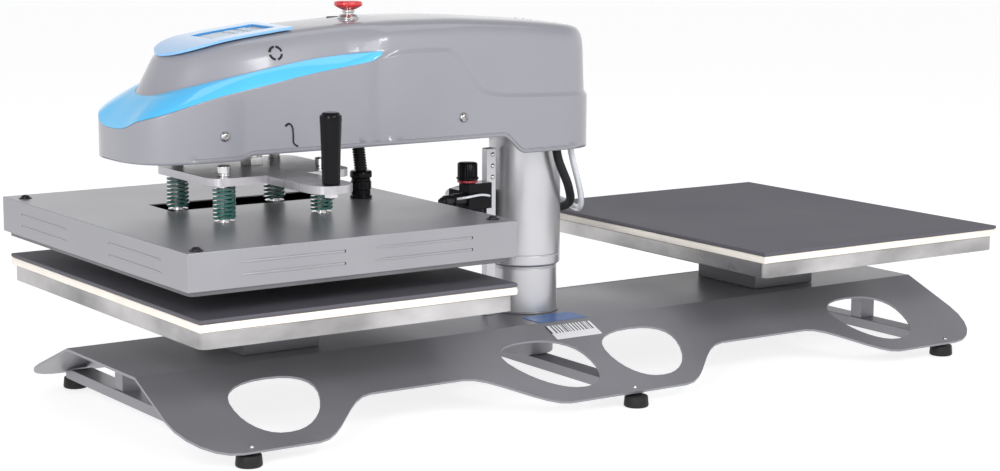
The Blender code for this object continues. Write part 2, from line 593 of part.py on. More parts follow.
def build_line(name, route, radius, steps, mat):
    curve = bpy.data.curves.new(name, "CURVE")
    curve.dimensions = "3D"
    curve.bevel_depth = radius * MM
    curve.bevel_resolution = 2
    curve.use_fill_caps = True
    points = smooth_points(route, steps)
    spline = curve.splines.new("POLY")
    spline.points.add(len(points) - 1)
    for slot, point in zip(spline.points, points):
        slot.co = (*(point * MM), 1.0)
    obj = bpy.data.objects.new(name, curve)
    bpy.context.collection.objects.link(obj)
    curve.materials.append(mat)
    return obj


def main():
    clear_scene()
    mats = make_materials()
    build_base(mats)
    build_stations(mats)
    build_air_unit(mats)
    build_head(mats)
    build_ram(mats)
    build_heat_platen(mats)
    build_stop_button(mats)
    build_line("control_cable", CABLE_ROUTE, 5.5, 3, mats["rubber"])
    build_line("air_hose", HOSE_ROUTE, 4.0, 4, mats["clear"])


main()
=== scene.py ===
"""Looks for the swing-head heat press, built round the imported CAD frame.

Sizes are in millimetres and become metres in the mesh helpers.
"""
import json
import math
from types import SimpleNamespace

import bmesh
import bpy
from mathutils import Matrix, Vector
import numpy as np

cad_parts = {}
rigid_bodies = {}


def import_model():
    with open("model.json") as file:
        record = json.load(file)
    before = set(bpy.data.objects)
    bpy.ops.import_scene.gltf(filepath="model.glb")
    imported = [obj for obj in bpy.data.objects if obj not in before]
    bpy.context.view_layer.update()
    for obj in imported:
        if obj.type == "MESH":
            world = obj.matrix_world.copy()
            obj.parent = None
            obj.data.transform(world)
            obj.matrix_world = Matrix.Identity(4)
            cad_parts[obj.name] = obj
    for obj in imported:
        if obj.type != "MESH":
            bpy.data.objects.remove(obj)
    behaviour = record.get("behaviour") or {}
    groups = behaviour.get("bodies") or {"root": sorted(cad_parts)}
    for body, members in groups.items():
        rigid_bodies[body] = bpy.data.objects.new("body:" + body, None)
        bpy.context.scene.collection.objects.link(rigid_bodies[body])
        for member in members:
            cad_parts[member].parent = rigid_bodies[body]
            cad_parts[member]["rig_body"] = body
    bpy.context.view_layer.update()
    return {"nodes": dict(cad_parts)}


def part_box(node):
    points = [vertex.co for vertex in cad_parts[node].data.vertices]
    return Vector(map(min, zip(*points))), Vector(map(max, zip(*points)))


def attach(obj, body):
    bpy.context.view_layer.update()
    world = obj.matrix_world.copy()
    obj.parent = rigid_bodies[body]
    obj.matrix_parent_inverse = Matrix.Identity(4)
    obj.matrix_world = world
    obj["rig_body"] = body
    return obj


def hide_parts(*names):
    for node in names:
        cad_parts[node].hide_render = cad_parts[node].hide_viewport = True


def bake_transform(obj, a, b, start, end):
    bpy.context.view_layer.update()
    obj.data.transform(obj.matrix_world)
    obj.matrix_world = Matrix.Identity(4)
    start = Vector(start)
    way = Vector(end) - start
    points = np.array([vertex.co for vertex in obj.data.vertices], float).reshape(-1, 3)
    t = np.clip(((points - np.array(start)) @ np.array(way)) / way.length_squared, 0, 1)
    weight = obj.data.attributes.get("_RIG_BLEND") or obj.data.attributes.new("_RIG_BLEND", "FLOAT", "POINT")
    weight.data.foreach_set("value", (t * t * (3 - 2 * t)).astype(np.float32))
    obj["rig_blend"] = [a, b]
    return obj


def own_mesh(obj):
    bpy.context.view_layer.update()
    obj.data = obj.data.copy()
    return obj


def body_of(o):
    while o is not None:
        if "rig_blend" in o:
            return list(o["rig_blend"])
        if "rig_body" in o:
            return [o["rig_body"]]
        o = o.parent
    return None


MM = 0.001
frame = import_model()
NODES = frame["nodes"]

# ---- driving values, as in the part ----------------------------------------
SHELL_T = 3.2
FLANGE_DROP = math.atan2(60.2, 146.4)
TOP_LINE = ((-562, 380), (-506, 421), (-456, 437), (-396, 445.5), (-335, 452), (-274, 455.5),
            (-213, 457.5), (-152, 457), (-91, 454), (-30, 449.5), (20, 444), (63, 438))
# the ledge under the upper body: along the blue strip, then down a crease to the tail
LEDGE_LOW = ((-563, 345), (-555, 356), (-535, 364), (-510, 372), (-478, 380), (-404, 393), (-345, 403),
             (-275, 412), (-225, 419), (-174, 419), (-122, 368), (-90, 361), (63, 356))
LEDGE_HIGH = ((-530, 378), (-522, 381), (-504, 388), (-469, 397), (-398, 410), (-336, 418.5), (-287, 422),
              (-225, 425), (-168, 424), (-116, 373), (-84, 366), (63, 361))
NOSE_SHARE, NOSE_POWER = 0.85, 2.8      # where the nose starts and how square it is


def place(node):
    """A CAD node's box at rest, in millimetres."""
    low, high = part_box(node)
    x0, y0, z0 = (v / MM for v in low)
    x1, y1, z1 = (v / MM for v in high)
    return SimpleNamespace(x0=x0, x1=x1, y0=y0, y1=y1, z0=z0, z1=z1, cx=(x0 + x1) / 2, cy=(y0 + y1) / 2)


HEAD = place("head_casing")
HOOD = place("platen_cover")
BASE = place("base_frame")
TOP_Z = BASE.z1
FOLD_Y = 91.6           # half width of the base's flat top

# ---- camera ------------------------------------------------------------------
EYE = Vector((-1.6367, -2.3435, 0.6379))
YAW, PITCH, ROLL = math.radians(34.316), math.radians(9.221), math.radians(0.22)
LENS = 82.46


def add_camera():
    ahead = Vector((math.sin(YAW) * math.cos(PITCH), math.cos(YAW) * math.cos(PITCH), -math.sin(PITCH)))
    side = Vector((math.cos(YAW), -math.sin(YAW), 0.0))
    up = side.cross(ahead)
    right = side * math.cos(ROLL) + up * math.sin(ROLL)
    top = up * math.cos(ROLL) - side * math.sin(ROLL)
    data = bpy.data.cameras.new("product_camera")
    data.lens = LENS
    data.sensor_width = 36.0
    data.sensor_fit = "HORIZONTAL"
    data.clip_end = 60.0
    camera = bpy.data.objects.new("product_camera", data)
    turn = Matrix((right, top, -ahead)).transposed()
    camera.matrix_world = Matrix.Translation(EYE) @ turn.to_4x4()
    bpy.context.scene.collection.objects.link(camera)
    bpy.context.scene.camera = camera


# ---- materials ---------------------------------------------------------------
def grain(nodes, links, scale, detail=4.0, stretch=(1.0, 1.0, 1.0), kind="ShaderNodeTexNoise"):
    """A noise in object space, stretched along the axes."""
    coords = nodes.new("ShaderNodeTexCoord")
    mapping = nodes.new("ShaderNodeMapping")
    mapping.inputs["Scale"].default_value = stretch
    texture = nodes.new(kind)
    texture.inputs["Scale"].default_value = scale
    if kind == "ShaderNodeTexNoise":
        texture.inputs["Detail"].default_value = detail
    links.new(coords.outputs["Object"], mapping.inputs["Vector"])
    links.new(mapping.outputs["Vector"], texture.inputs["Vector"])
    return texture.outputs[0]


def ramp(nodes, links, value, dark, light, low=0.3, high=0.7):
    node = nodes.new("ShaderNodeValToRGB")
    node.color_ramp.elements[0].position = low
    node.color_ramp.elements[0].color = (*dark, 1.0)
    node.color_ramp.elements[1].position = high
    node.color_ramp.elements[1].color = (*light, 1.0)
    links.new(value, node.inputs["Fac"])
    return node.outputs["Color"]


def spread(nodes, links, value, low, high):
    node = nodes.new("ShaderNodeMapRange")
    node.inputs["From Min"].default_value = 0.3
    node.inputs["From Max"].default_value = 0.7
    node.inputs["To Min"].default_value = low
    node.inputs["To Max"].default_value = high
    links.new(value, node.inputs["Value"])
    return node.outputs["Result"]


def finish(name, colour, vary=0.06, rough=(0.3, 0.36), metallic=0.0, scale=14.0, stretch=(1.0, 1.0, 1.0),
           bump=0.05, bump_scale=900.0, coat=0.0, coat_rough=0.1, specular=0.5):
    """A finish whose tint, gloss and fine relief all vary a little."""
    mat = bpy.data.materials.new(name)
    mat.use_nodes = True
    nodes, links = mat.node_tree.nodes, mat.node_tree.links
    shader = nodes["Principled BSDF"]
    cloud = grain(nodes, links, scale, stretch=stretch)
    dark = tuple(c * (1.0 - vary) for c in colour)
    light = tuple(min(1.0, c * (1.0 + vary)) for c in colour)
    links.new(ramp(nodes, links, cloud, dark, light), shader.inputs["Base Color"])
    links.new(spread(nodes, links, cloud, *rough), shader.inputs["Roughness"])
    shader.inputs["Metallic"].default_value = metallic
    shader.inputs["Coat Weight"].default_value = coat
    shader.inputs["Coat Roughness"].default_value = coat_rough
    shader.inputs["Specular IOR Level"].default_value = specular
    if bump > 0.0:
        relief = nodes.new("ShaderNodeBump")
        relief.inputs["Strength"].default_value = bump
        relief.inputs["Distance"].default_value = 0.0004
        links.new(grain(nodes, links, bump_scale, 2.0, stretch), relief.inputs["Height"])
        links.new(relief.outputs["Normal"], shader.inputs["Normal"])
    mat.diffuse_color = (*colour, 1.0)
    return mat


def cast_metal(name):
    """Milled cast aluminium: patches of different brightness and gloss."""
    return finish(name, (0.45, 0.44, 0.44), 0.55, (0.22, 0.46), 1.0, 6.0, (1.0, 1.0, 2.0), 0.12, 300.0)


def cover_cloth(name):
    """Fine woven release cloth over the pad."""
    mat = finish(name, (0.098, 0.095, 0.112), 0.08, (0.55, 0.68), 0.0, 6.0, bump=0.0, specular=0.35)
    nodes, links = mat.node_tree.nodes, mat.node_tree.links
    relief = nodes.new("ShaderNodeBump")
    relief.inputs["Strength"].default_value = 0.35
    relief.inputs["Distance"].default_value = 0.0003
    links.new(grain(nodes, links, 1500.0, 1.0), relief.inputs["Height"])
    links.new(relief.outputs["Normal"], nodes["Principled BSDF"].inputs["Normal"])
    return mat


LABEL_BARS = (-0.1150, -0.1148)      # y in metres where white below gives way to bars


def label_print(name):
    """White label with a row of plain bars across its upper part."""
    mat = finish(name, (0.86, 0.86, 0.88), 0.03, (0.3, 0.4), bump=0.0)
    nodes, links = mat.node_tree.nodes, mat.node_tree.links
    shader = nodes["Principled BSDF"]
    bars = grain(nodes, links, 420.0, 0.0, (1.0, 0.0, 0.0))
    split = nodes.new("ShaderNodeSeparateXYZ")
    coords = nodes.new("ShaderNodeTexCoord")
    links.new(coords.outputs["Object"], split.inputs["Vector"])
    shade = ramp(nodes, links, bars, (0.05, 0.05, 0.06), (0.86, 0.86, 0.88), 0.47, 0.49)
    mix = nodes.new("ShaderNodeMix")
    mix.data_type = "RGBA"
    inside = spread(nodes, links, split.outputs["Y"], 0.0, 1.0)
    mapper = inside.node
    mapper.inputs["From Min"].default_value = LABEL_BARS[0]
    mapper.inputs["From Max"].default_value = LABEL_BARS[1]
    mapper.clamp = True
    links.new(inside, mix.inputs["Factor"])
    mix.inputs["A"].default_value = (0.86, 0.86, 0.88, 1.0)
    links.new(shade, mix.inputs["B"])
    links.new(mix.outputs["Result"], shader.inputs["Base Color"])
    return mat


PAINT = finish("grey_powder_coat", (0.27, 0.27, 0.29), 0.05, (0.36, 0.44), 0.4, 10.0, bump=0.0)
# Pad supports in a darker grey than the base: painted shade for the shadow they stand in under the platens.
SHADED_SUPPORT_PAINT = finish("support_paint_painted_shade", (0.12, 0.12, 0.13), 0.06, (0.4, 0.5), 0.3, 12.0, bump=0.06)
HEATER = finish("heater_aluminium", (0.17, 0.17, 0.18), 0.2, (0.4, 0.5), 0.8, 9.0, bump=0.06)
HOOD_PAINT = finish("satin_hood_paint", (0.34, 0.34, 0.36), 0.04, (0.30, 0.36), 0.7, 8.0, bump=0.0)
POST_PAINT = finish("silver_post_paint", (0.58, 0.58, 0.60), 0.05, (0.28, 0.36), 0.8, 12.0, bump=0.14,
                    bump_scale=1800.0)
CASING = finish("casing_enamel", (0.26, 0.26, 0.29), 0.03, (0.30, 0.36), 0.0, 6.0, bump=0.0,
                coat=0.6, coat_rough=0.08)
BLUE = finish("blue_gloss", (0.09, 0.50, 0.86), 0.04, (0.10, 0.16), 0.0, 8.0, bump=0.0, coat=0.6,
              coat_rough=0.04)
# The bezel's blue: the strip's blue whitened, a painted sheen of the white reflections on it.
SHEEN_BLUE = finish("blue_gloss_painted_sheen", (0.22, 0.46, 0.78), 0.05, (0.12, 0.18), 0.0, 8.0, bump=0.0, coat=0.6,
                   coat_rough=0.04)
# The recess wall's blue: the same bezel blue darkened, painted shade inside the recess.
SHADED_BLUE = finish("blue_wall_painted_shade", (0.02, 0.24, 0.60), 0.05, (0.2, 0.3), bump=0.0)
STEEL = finish("polished_steel", (0.68, 0.67, 0.67), 0.08, (0.10, 0.2), 1.0, 60.0, bump=0.04,
               bump_scale=600.0)
DULL_STEEL = finish("dull_steel", (0.42, 0.41, 0.41), 0.08, (0.2, 0.3), 1.0, 60.0, bump=0.04,
                    bump_scale=600.0)
BRUSHED = finish("brushed_aluminium", (0.52, 0.51, 0.53), 0.08, (0.26, 0.4), 1.0, 40.0, (1.0, 12.0, 1.0), 0.1,
                 500.0)
CAST = cast_metal("cast_aluminium")
BRONZE = finish("bush_bronze", (0.55, 0.38, 0.18), 0.08, (0.3, 0.4), 1.0)
FOAM = finish("silicone_foam", (0.84, 0.79, 0.72), 0.05, (0.6, 0.75), 0.0, 30.0, bump=0.25, bump_scale=500.0)
COVER = cover_cloth("pad_cover_cloth")
RUBBER = finish("black_rubber", (0.014, 0.014, 0.015), 0.2, (0.5, 0.6), bump=0.2, bump_scale=500.0,
                specular=0.25)
BLACK = finish("black_gloss_plastic", (0.006, 0.006, 0.007), 0.2, (0.10, 0.16), coat=0.0, bump=0.03,
               specular=0.12)
# Black oxide for bolts and fittings; on the hook groove the same black is painted shade in the groove.
OXIDE_AND_GROOVE_SHADE = finish("black_oxide_and_groove_shade", (0.03, 0.03, 0.033), 0.2, (0.3, 0.42), 0.8, 60.0, bump=0.06)
GREEN = finish("green_spring_enamel", (0.0, 0.085, 0.07), 0.2, (0.12, 0.24), 0.0, 90.0, bump=0.06, coat=0.8,
               coat_rough=0.06)
RED = finish("red_gloss", (0.62, 0.018, 0.022), 0.08, (0.14, 0.2), 0.0, 40.0, bump=0.0, coat=0.7,
             coat_rough=0.05)
DARK_RED = finish("dark_red_ring", (0.28, 0.01, 0.02), 0.1, (0.25, 0.35), bump=0.0)
SCREEN = finish("display_film", (0.30, 0.34, 0.40), 0.08, (0.2, 0.3), 0.0, 30.0, bump=0.02)
KEYS = finish("display_keys", (0.52, 0.60, 0.68), 0.05, (0.25, 0.35), 0.0, 60.0, bump=0.0)
# Near-black painted shade: the open ends of the louvres and the board seen through the hood's window.
PAINTED_SHADE_BLACK = finish("painted_shade_black", (0.012, 0.012, 0.013), 0.3, (0.7, 0.9), 0.0, 80.0, bump=0.3,
              bump_scale=200.0)
HOSE = finish("clear_hose", (0.66, 0.68, 0.72), 0.05, (0.10, 0.16), 0.1, 60.0, bump=0.0, coat=0.8,
              coat_rough=0.05)
STICKER = finish("blue_sticker", (0.02, 0.13, 0.42), 0.08, (0.3, 0.4), 0.0, 60.0, bump=0.0)
LABEL = label_print("white_label")
BY_SLOT = {"paint": PAINT, "casing": CASING, "blue": BLUE, "steel": STEEL, "alu": CAST, "bronze": BRONZE,
           "foam": FOAM, "fabric": COVER, "rubber": RUBBER, "black": BLACK, "green": GREEN, "red": RED,
           "screen": SCREEN, "clear": HOSE}


# ---- mesh helpers ------------------------------------------------------------
def soften(obj, width, segments, angle):
    """Round the edges that are sharper than the angle."""
    mod = obj.modifiers.new("soft_edges", "BEVEL")
    mod.width = width * MM
    mod.segments = segments
    mod.limit_method = "ANGLE"
    mod.angle_limit = math.radians(angle)
    mod.harden_normals = True


def settle(mesh, name, mats, body, angle=35.0, bevel=0.0, segments=2, stands_for=()):
    """Link a mesh as a piece: shading, edge rounding, body, slot and CAD nodes."""
    mesh.shade_smooth()
    mesh.set_sharp_from_angle(angle=math.radians(angle))
    obj = bpy.data.objects.new(name, mesh)
    bpy.context.scene.collection.objects.link(obj)
    mesh.materials.clear()
    for mat in (mats if isinstance(mats, (list, tuple)) else (mats,)):
        mesh.materials.append(mat)
    if bevel > 0.0:
        soften(obj, bevel, segments, angle)
    if body is not None:
        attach(obj, body)
    if stands_for:
        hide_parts(*stands_for)
    return obj


def from_bmesh(bm, name):
    """A mesh in metres from a bmesh drawn in millimetres."""
    bmesh.ops.remove_doubles(bm, verts=bm.verts, dist=1e-3)
    bmesh.ops.recalc_face_normals(bm, faces=bm.faces)
    bmesh.ops.scale(bm, vec=(MM, MM, MM), verts=bm.verts)
    mesh = bpy.data.meshes.new(name)
    bm.to_mesh(mesh)
    bm.free()
    return mesh


def dress(node, mat, bevel=0.8, angle=35.0, segments=2):
    """A CAD node's own shape with softened edges and a new finish."""
    source = NODES[node]
    mesh = source.data.copy()
    bm = bmesh.new()
    bm.from_mesh(mesh)
    bmesh.ops.remove_doubles(bm, verts=bm.verts, dist=2e-6)
    bmesh.ops.dissolve_limit(bm, angle_limit=math.radians(0.6), verts=bm.verts, edges=bm.edges)
    bm.to_mesh(mesh)
    bm.free()
    return settle(mesh, node + "_skin", mat, body_of(source)[0], angle, bevel, segments, (node,))


def lathe_mesh(name, profile, steps, turn=None):
    """Turn (radius, height) points round Z; a profile that ends on radius 0
    at both ends is a solid, any other is a ring."""
    bm = bmesh.new()
    rings = []
    for radius, height in profile:
        count = steps if radius > 0.0 else 1
        rings.append([bm.verts.new((radius * math.cos(2 * math.pi * i / steps),
                                    radius * math.sin(2 * math.pi * i / steps), height))
                      for i in range(count)])
    pairs = list(zip(rings, rings[1:]))
    if profile[0][0] > 0.0:
        pairs.append((rings[-1], rings[0]))
    for low, high in pairs:
        for i in range(steps):
            j = (i + 1) % steps
            corners = (low[i % len(low)], low[j % len(low)], high[j % len(high)], high[i % len(high)])
            bm.faces.new(tuple(dict.fromkeys(corners)))
    if turn is not None:
        bmesh.ops.transform(bm, matrix=turn, verts=bm.verts)
    return from_bmesh(bm, name)


def lathe(name, profile, at, mat, body, steps=48, aim=(0.0, 0.0, 1.0), bevel=0.25, stands_for=(),
          angle=35.0):
    """A turned piece at a point, its axis along aim."""
    turn = Matrix.Translation(Vector(at)) @ Vector(aim).to_track_quat("Z", "Y").to_matrix().to_4x4()
    mesh = lathe_mesh(name, profile, steps, turn)
    return settle(mesh, name, mat, body, angle, bevel, 2, stands_for)


def rings_mesh(name, rings, caps=True):
    """Skin over rings of points; each ring is a closed loop."""
    bm = bmesh.new()
    loops = [[bm.verts.new(p) for p in ring] for ring in rings]
    count = len(loops[0])
    for one, two in zip(loops, loops[1:]):
        for i in range(count):
            j = (i + 1) % count
            bm.faces.new((one[i], one[j], two[j], two[i]))
    if caps:
        bm.faces.new(loops[0])
        bm.faces.new(loops[-1])
    return from_bmesh(bm, name)


def tube_mesh(name, points, radius, sides=16, squeeze=1.0):
    """Round tube along points; radius is a number or a function of 0 to 1."""
    rings = []
    side = None
    for i, point in enumerate(points):
        before, after = points[max(i - 1, 0)], points[min(i + 1, len(points) - 1)]
        ahead = (after - before).normalized()
        if side is None:
            side = ahead.orthogonal().normalized()
        side = (side - ahead * side.dot(ahead)).normalized()
        other = ahead.cross(side)
        r = radius(i / (len(points) - 1)) if callable(radius) else radius
        rings.append([point + (side * math.cos(2 * math.pi * k / sides)
                               + other * math.sin(2 * math.pi * k / sides) * squeeze) * r
                      for k in range(sides)])
    return rings_mesh(name, rings)


def slab(name, outline, low, high, mat, body, turn=None, bevel=0.3, stands_for=()):
    """Flat outline extruded from low to high."""
    bm = bmesh.new()
    ring = [bm.verts.new((x, y, low)) for x, y in outline]
    face = bm.faces.new(ring)
    grown = bmesh.ops.extrude_face_region(bm, geom=[face])
    tops = [g for g in grown["geom"] if isinstance(g, bmesh.types.BMVert)]
    bmesh.ops.translate(bm, vec=(0, 0, high - low), verts=tops)
    if turn is not None:
        bmesh.ops.transform(bm, matrix=turn, verts=bm.verts)
    return settle(from_bmesh(bm, name), name, mat, body, 35.0, bevel, 2, stands_for)


def rounded(x0, x1, y0, y1, radius, steps=6):
    """Rectangle with round corners, as a closed outline."""
    centres = ((x1 - radius, y1 - radius, 0), (x0 + radius, y1 - radius, 90),
               (x0 + radius, y0 + radius, 180), (x1 - radius, y0 + radius, 270))
    points = []
    for cx, cy, start in centres:
        for i in range(steps + 1):
            a = math.radians(start + 90.0 * i / steps)
            points.append((cx + radius * math.cos(a), cy + radius * math.sin(a)))
    return points


def ease(x, x0, y0, x1, y1):
    """Smooth step from y0 at x0 to y1 at x1."""
    t = min(1.0, max(0.0, (x - x0) / (x1 - x0)))
    return y0 + (y1 - y0) * t * t * (3.0 - 2.0 * t)


def glide(points, x):
    """Smooth curve through (x, value) points that never overshoots them."""
    x = min(max(x, points[0][0]), points[-1][0])
    slopes = [(vb - va) / (xb - xa) for (xa, va), (xb, vb) in zip(points, points[1:])]
    i = 0
    while i < len(slopes) - 1 and x > points[i + 1][0]:
        i += 1

    def tangent(k):
        if k == 0 or k == len(slopes):
            return slopes[min(k, len(slopes) - 1)]
        before, after = slopes[k - 1], slopes[k]
        return 0.0 if before * after <= 0.0 else 2.0 * before * after / (before + after)

    (xa, va), (xb, vb) = points[i], points[i + 1]
    span = xb - xa
    t = (x - xa) / span
    return (va * (1 + 2 * t) * (1 - t) ** 2 + tangent(i) * span * t * (1 - t) ** 2
            + vb * t * t * (3 - 2 * t) - tangent(i + 1) * span * t * t * (1 - t))


def roof(x):
    return glide(TOP_LINE, x)


def smooth_points(points, steps):
    """Catmull-Rom curve through the route's points."""
    ends = [points[0]] + list(points) + [points[-1]]
    result = []
    for i in range(1, len(ends) - 2):
        p0, p1, p2, p3 = (Vector(p) for p in ends[i - 1:i + 3])
        for k in range(steps):
            t = k / steps
            result.append(0.5 * (2 * p1 + (p2 - p0) * t + (2 * p0 - 5 * p1 + 4 * p2 - p3) * t * t
                                 + (3 * p1 - p0 - 3 * p2 + p3) * t ** 3))
    result.append(Vector(points[-1]))
    return result


# ---- cable and hose between the swinging head and the standing air unit ------------
CABLE_ROUTE = ((6.0, -56.0, 306.0), (12.0, -56.0, 276.0), (34.0, -47.0, 240.0), (56.0, -18.0, 214.0),
               (56.0, 22.0, 202.0), (28.0, 56.0, 204.0), (-16.0, 68.0, 208.0), (-46.0, 66.0, 210.0),
               (-55.0, 54.0, 210.0), (-55.0, 44.6, 210.0))
HOSE_ROUTE = ((36.0, -43.0, 306.0), (43.0, -42.0, 276.0), (61.0, -36.0, 228.0), (71.0, -18.0, 206.0),
              (73.0, 22.0, 212.0), (46.0, 62.0, 224.0), (-8.0, 84.0, 230.0), (-60.0, 78.0, 226.0),
              (-76.0, 58.0, 222.0), (-77.0, 44.6, 222.0))
# where each line starts and stops turning with the head, in metres: both stay
# clear of the column and valve without a fold, but between 90 and 135 degrees they
# start to touch each other, and at the far end the hose is about a quarter longer
CABLE_BEND = ((0.118, -0.032, 0.170), (0.149, -0.026, 0.241))
HOSE_BEND = ((0.001, 0.037, 0.248), (0.037, 0.042, 0.298))


def add_line(name, node, route, bend, radius, mat):
    """A line that bends with the swing, fixed at the valve and in the head."""
    points = smooth_points(route, 8)
    mesh = tube_mesh(name, points, radius, 20)
    obj = settle(mesh, name, mat, None, 60.0, 0.0, 2, (node,))
    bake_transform(obj, "base", "head", *bend)


# ---- head casing ------------------------------------------------------------------
def rim_height(x):
    """Lower edge of the casing: nose, arched middle, deep tail."""
    if x < -350.0:
        return ease(x, -447.0, 309.0, -428.0, 314.0)
    return ease(x, -90.0, 314.0, -58.0, 292.0)


def half_plan(front, rear, width_front, width_rear, nose_len, power):
    """Half outline, rear centre to nose centre, on the -Y side.  The nose is
    a superellipse; every outline shares its stations along the length."""
    radius = width_rear - 25.0
    points = [(rear, 0.0), (rear, -12.5)]
    for i in range(13):
        a = math.radians(90.0 * i / 12)
        points.append((rear - radius + radius * math.cos(a), -25.0 - radius * math.sin(a)))
    shares = [NOSE_SHARE * i / 130 for i in range(1, 130)]
    for i in range(37):
        a = math.radians(90.0 * i / 36)
        shares.append(NOSE_SHARE + (1.0 - NOSE_SHARE) * math.sin(a) ** (2.0 / NOSE_POWER))
    for share in shares:
        x = rear - radius + (front - rear + radius) * share
        into_nose = min(1.0, max(0.0, (front + nose_len - x) / nose_len))
        taper = max(0.0, 1.0 - into_nose ** power) ** (1.0 / power)
        points.append((x, -ease(x, -300.0, width_front, -245.0, width_rear) * taper))
    points[-1] = (front, 0.0)
    return points


def hollow(x):
    """Shallow upright valley in the side where the blue strip ends."""
    return 5.0 * math.exp(-((x + 262.0) / 13.0) ** 2)


def side_sections():
    """For each point of the half plan, the corner points from rim to centre line."""
    low = half_plan(HEAD.x0, HEAD.x1, 85.0, 85.0, 85.0, NOSE_POWER)
    high = half_plan(-525.0, HEAD.x1 - 4.0, 72.0, 81.5, 130.0, 2.3)
    shoulder = half_plan(-512.0, HEAD.x1 - 6.0, 64.0, 78.0, 122.0, 2.3)
    edge = half_plan(-505.0, HEAD.x1 - 12.0, 55.0, 62.0, 112.0, 2.3)
    sections = []
    for a, b, c, d in zip(low, high, shoulder, edge):
        rim = rim_height(a[0])
        side = -1.0 if a[1] < 0.0 else 0.0
        flat = a[1] - side * hollow(a[0])
        crease = glide(LEDGE_LOW, a[0])
        inner = a[1] - side * 0.9 if abs(a[1]) > 84.0 else a[1]
        sections.append([Vector(p) for p in (
            (a[0], a[1], rim), (a[0], a[1], rim + 3.2), (a[0], inner, rim + 3.9), (a[0], inner, rim + 4.7),
            (a[0], flat, rim + 5.4), (a[0], flat, rim + 14.0), (a[0], flat, crease),
            (b[0], b[1], glide(LEDGE_HIGH, b[0])), (c[0], c[1], roof(c[0]) - 13.0),
                    (d[0], d[1], roof(d[0]) - 0.8),
            (d[0], 0.0, roof(d[0]) + 0.8))])
    return sections


FILLETS = (0.0, 0.0, 0.0, 0.0, 0.0, 0.0, 1.4, 2.0, 16.0, 16.0, 0.0)


def fillet(points, radii, steps=4):
    """Round the corners of an open line, always with the same point count."""
    result = []
    last = len(points) - 1
    for i, (point, radius) in enumerate(zip(points, radii)):
        if radius == 0.0 or i in (0, last):
            result.append(point)
            continue
        back, on = points[i - 1] - point, points[i + 1] - point
        start = point + back.normalized() * min(radius, back.length * 0.45)
        end = point + on.normalized() * min(radius, on.length * 0.45)
        for k in range(steps + 1):
            t = k / steps
            result.append(start * (1 - t) ** 2 + point * 2 * t * (1 - t) + end * t * t)
    return result


def build_casing():
    lines = [fillet(section, FILLETS) for section in side_sections()]
    far = [[Vector((p.x, -p.y, p.z)) for p in line] for line in reversed(lines[1:-1])]
    mesh = rings_mesh("casing_shell", [list(line) for line in zip(*(lines + far))], caps=False)
    obj = settle(mesh, "casing_shell", CASING, "head", 50.0, stands_for=("head_casing",))
    wall = obj.modifiers.new("wall", "SOLIDIFY")
    wall.thickness = SHELL_T * MM
    wall.offset = -1.0


def build_blue_strip():
    """Glossy strip on the ledge, round the nose, with a blunt tip each side."""
    tip, blunt = -270.0, 9.0
    rings = []
    sections = side_sections()
    half = [(s[6], s[7]) for s in sections if s[6].x < tip]
    pairs = half + [tuple(Vector((p.x, -p.y, p.z)) for p in pair) for pair in reversed(half[:-1])]
    for low, high in pairs:
        across = high - low
        out = Vector((low.x - high.x, low.y - high.y, 0.0))
        out = out.normalized() if out.length > 0.5 else Vector((0.0, math.copysign(1.0, low.y), 0.0))
        along = across.normalized()
        normal = (out - along * out.dot(along)).normalized()
        normal = normal if normal.z > 0 or out.dot(normal) > 0 else -normal
        share = min(1.0, max(0.02, (tip - low.x) / blunt))
        fill = math.sqrt(1.0 - (1.0 - share) ** 2)
        middle = low + across * 0.5
        reach = (across.length * 0.5 - 0.4) * fill
        ring = []
        for k in range(9):
            t = -1.0 + 2.0 * k / 8
            ring.append(middle + along * reach * t + normal * (0.5 + 2.0 * fill * (1.0 - t * t) ** 0.6))
        ring.append(middle + along * reach * 0.8 - normal * 0.8)
        ring.append(middle - along * reach * 0.8 - normal * 0.8)
        rings.append(ring)
    settle(rings_mesh("blue_strip", rings), "blue_strip", BLUE, "head", 50.0,
           stands_for=("blue_trim",))


def roof_patch(name, x0, x1, half_width, low, high, mat, nose=0.0, window=None, stands_for=(),
               steps=40):
    """Slab that follows the roof; window is a box cut out of it."""
    rings = []
    for i in range(steps + 1):
        x = x0 + (x1 - x0) * i / steps
        half_y = half_width
        if x < x0 + nose:
            half_y = half_width * math.sqrt(max(0.02, 1.0 - ((x0 + nose - x) / nose) ** 2))
        z = roof(x) + 0.8
        rings.append(((x, -half_y, z + low), (x, half_y, z + low), (x, half_y, z + high),
                      (x, -half_y, z + high)))
    obj = settle(rings_mesh(name, rings), name, mat, "head", 40.0, 0.0, 2, stands_for)
    if window is not None:
        x2, x3, half = window
        tool = slab(name + "_window", rounded(x2, x3, -half, half, 3.0), 380.0, 500.0, mat, None,
                    bevel=0.0)
        opening = obj.modifiers.new("opening", "BOOLEAN")
        opening.solver = "EXACT"
        opening.object = tool
        graph = bpy.context.evaluated_depsgraph_get()
        cut = bpy.data.meshes.new_from_object(obj.evaluated_get(graph))
        obj.modifiers.clear()
        obj.data = cut
        bpy.data.objects.remove(tool, do_unlink=True)
    soften(obj, 0.7, 2, 40.0)
    return obj


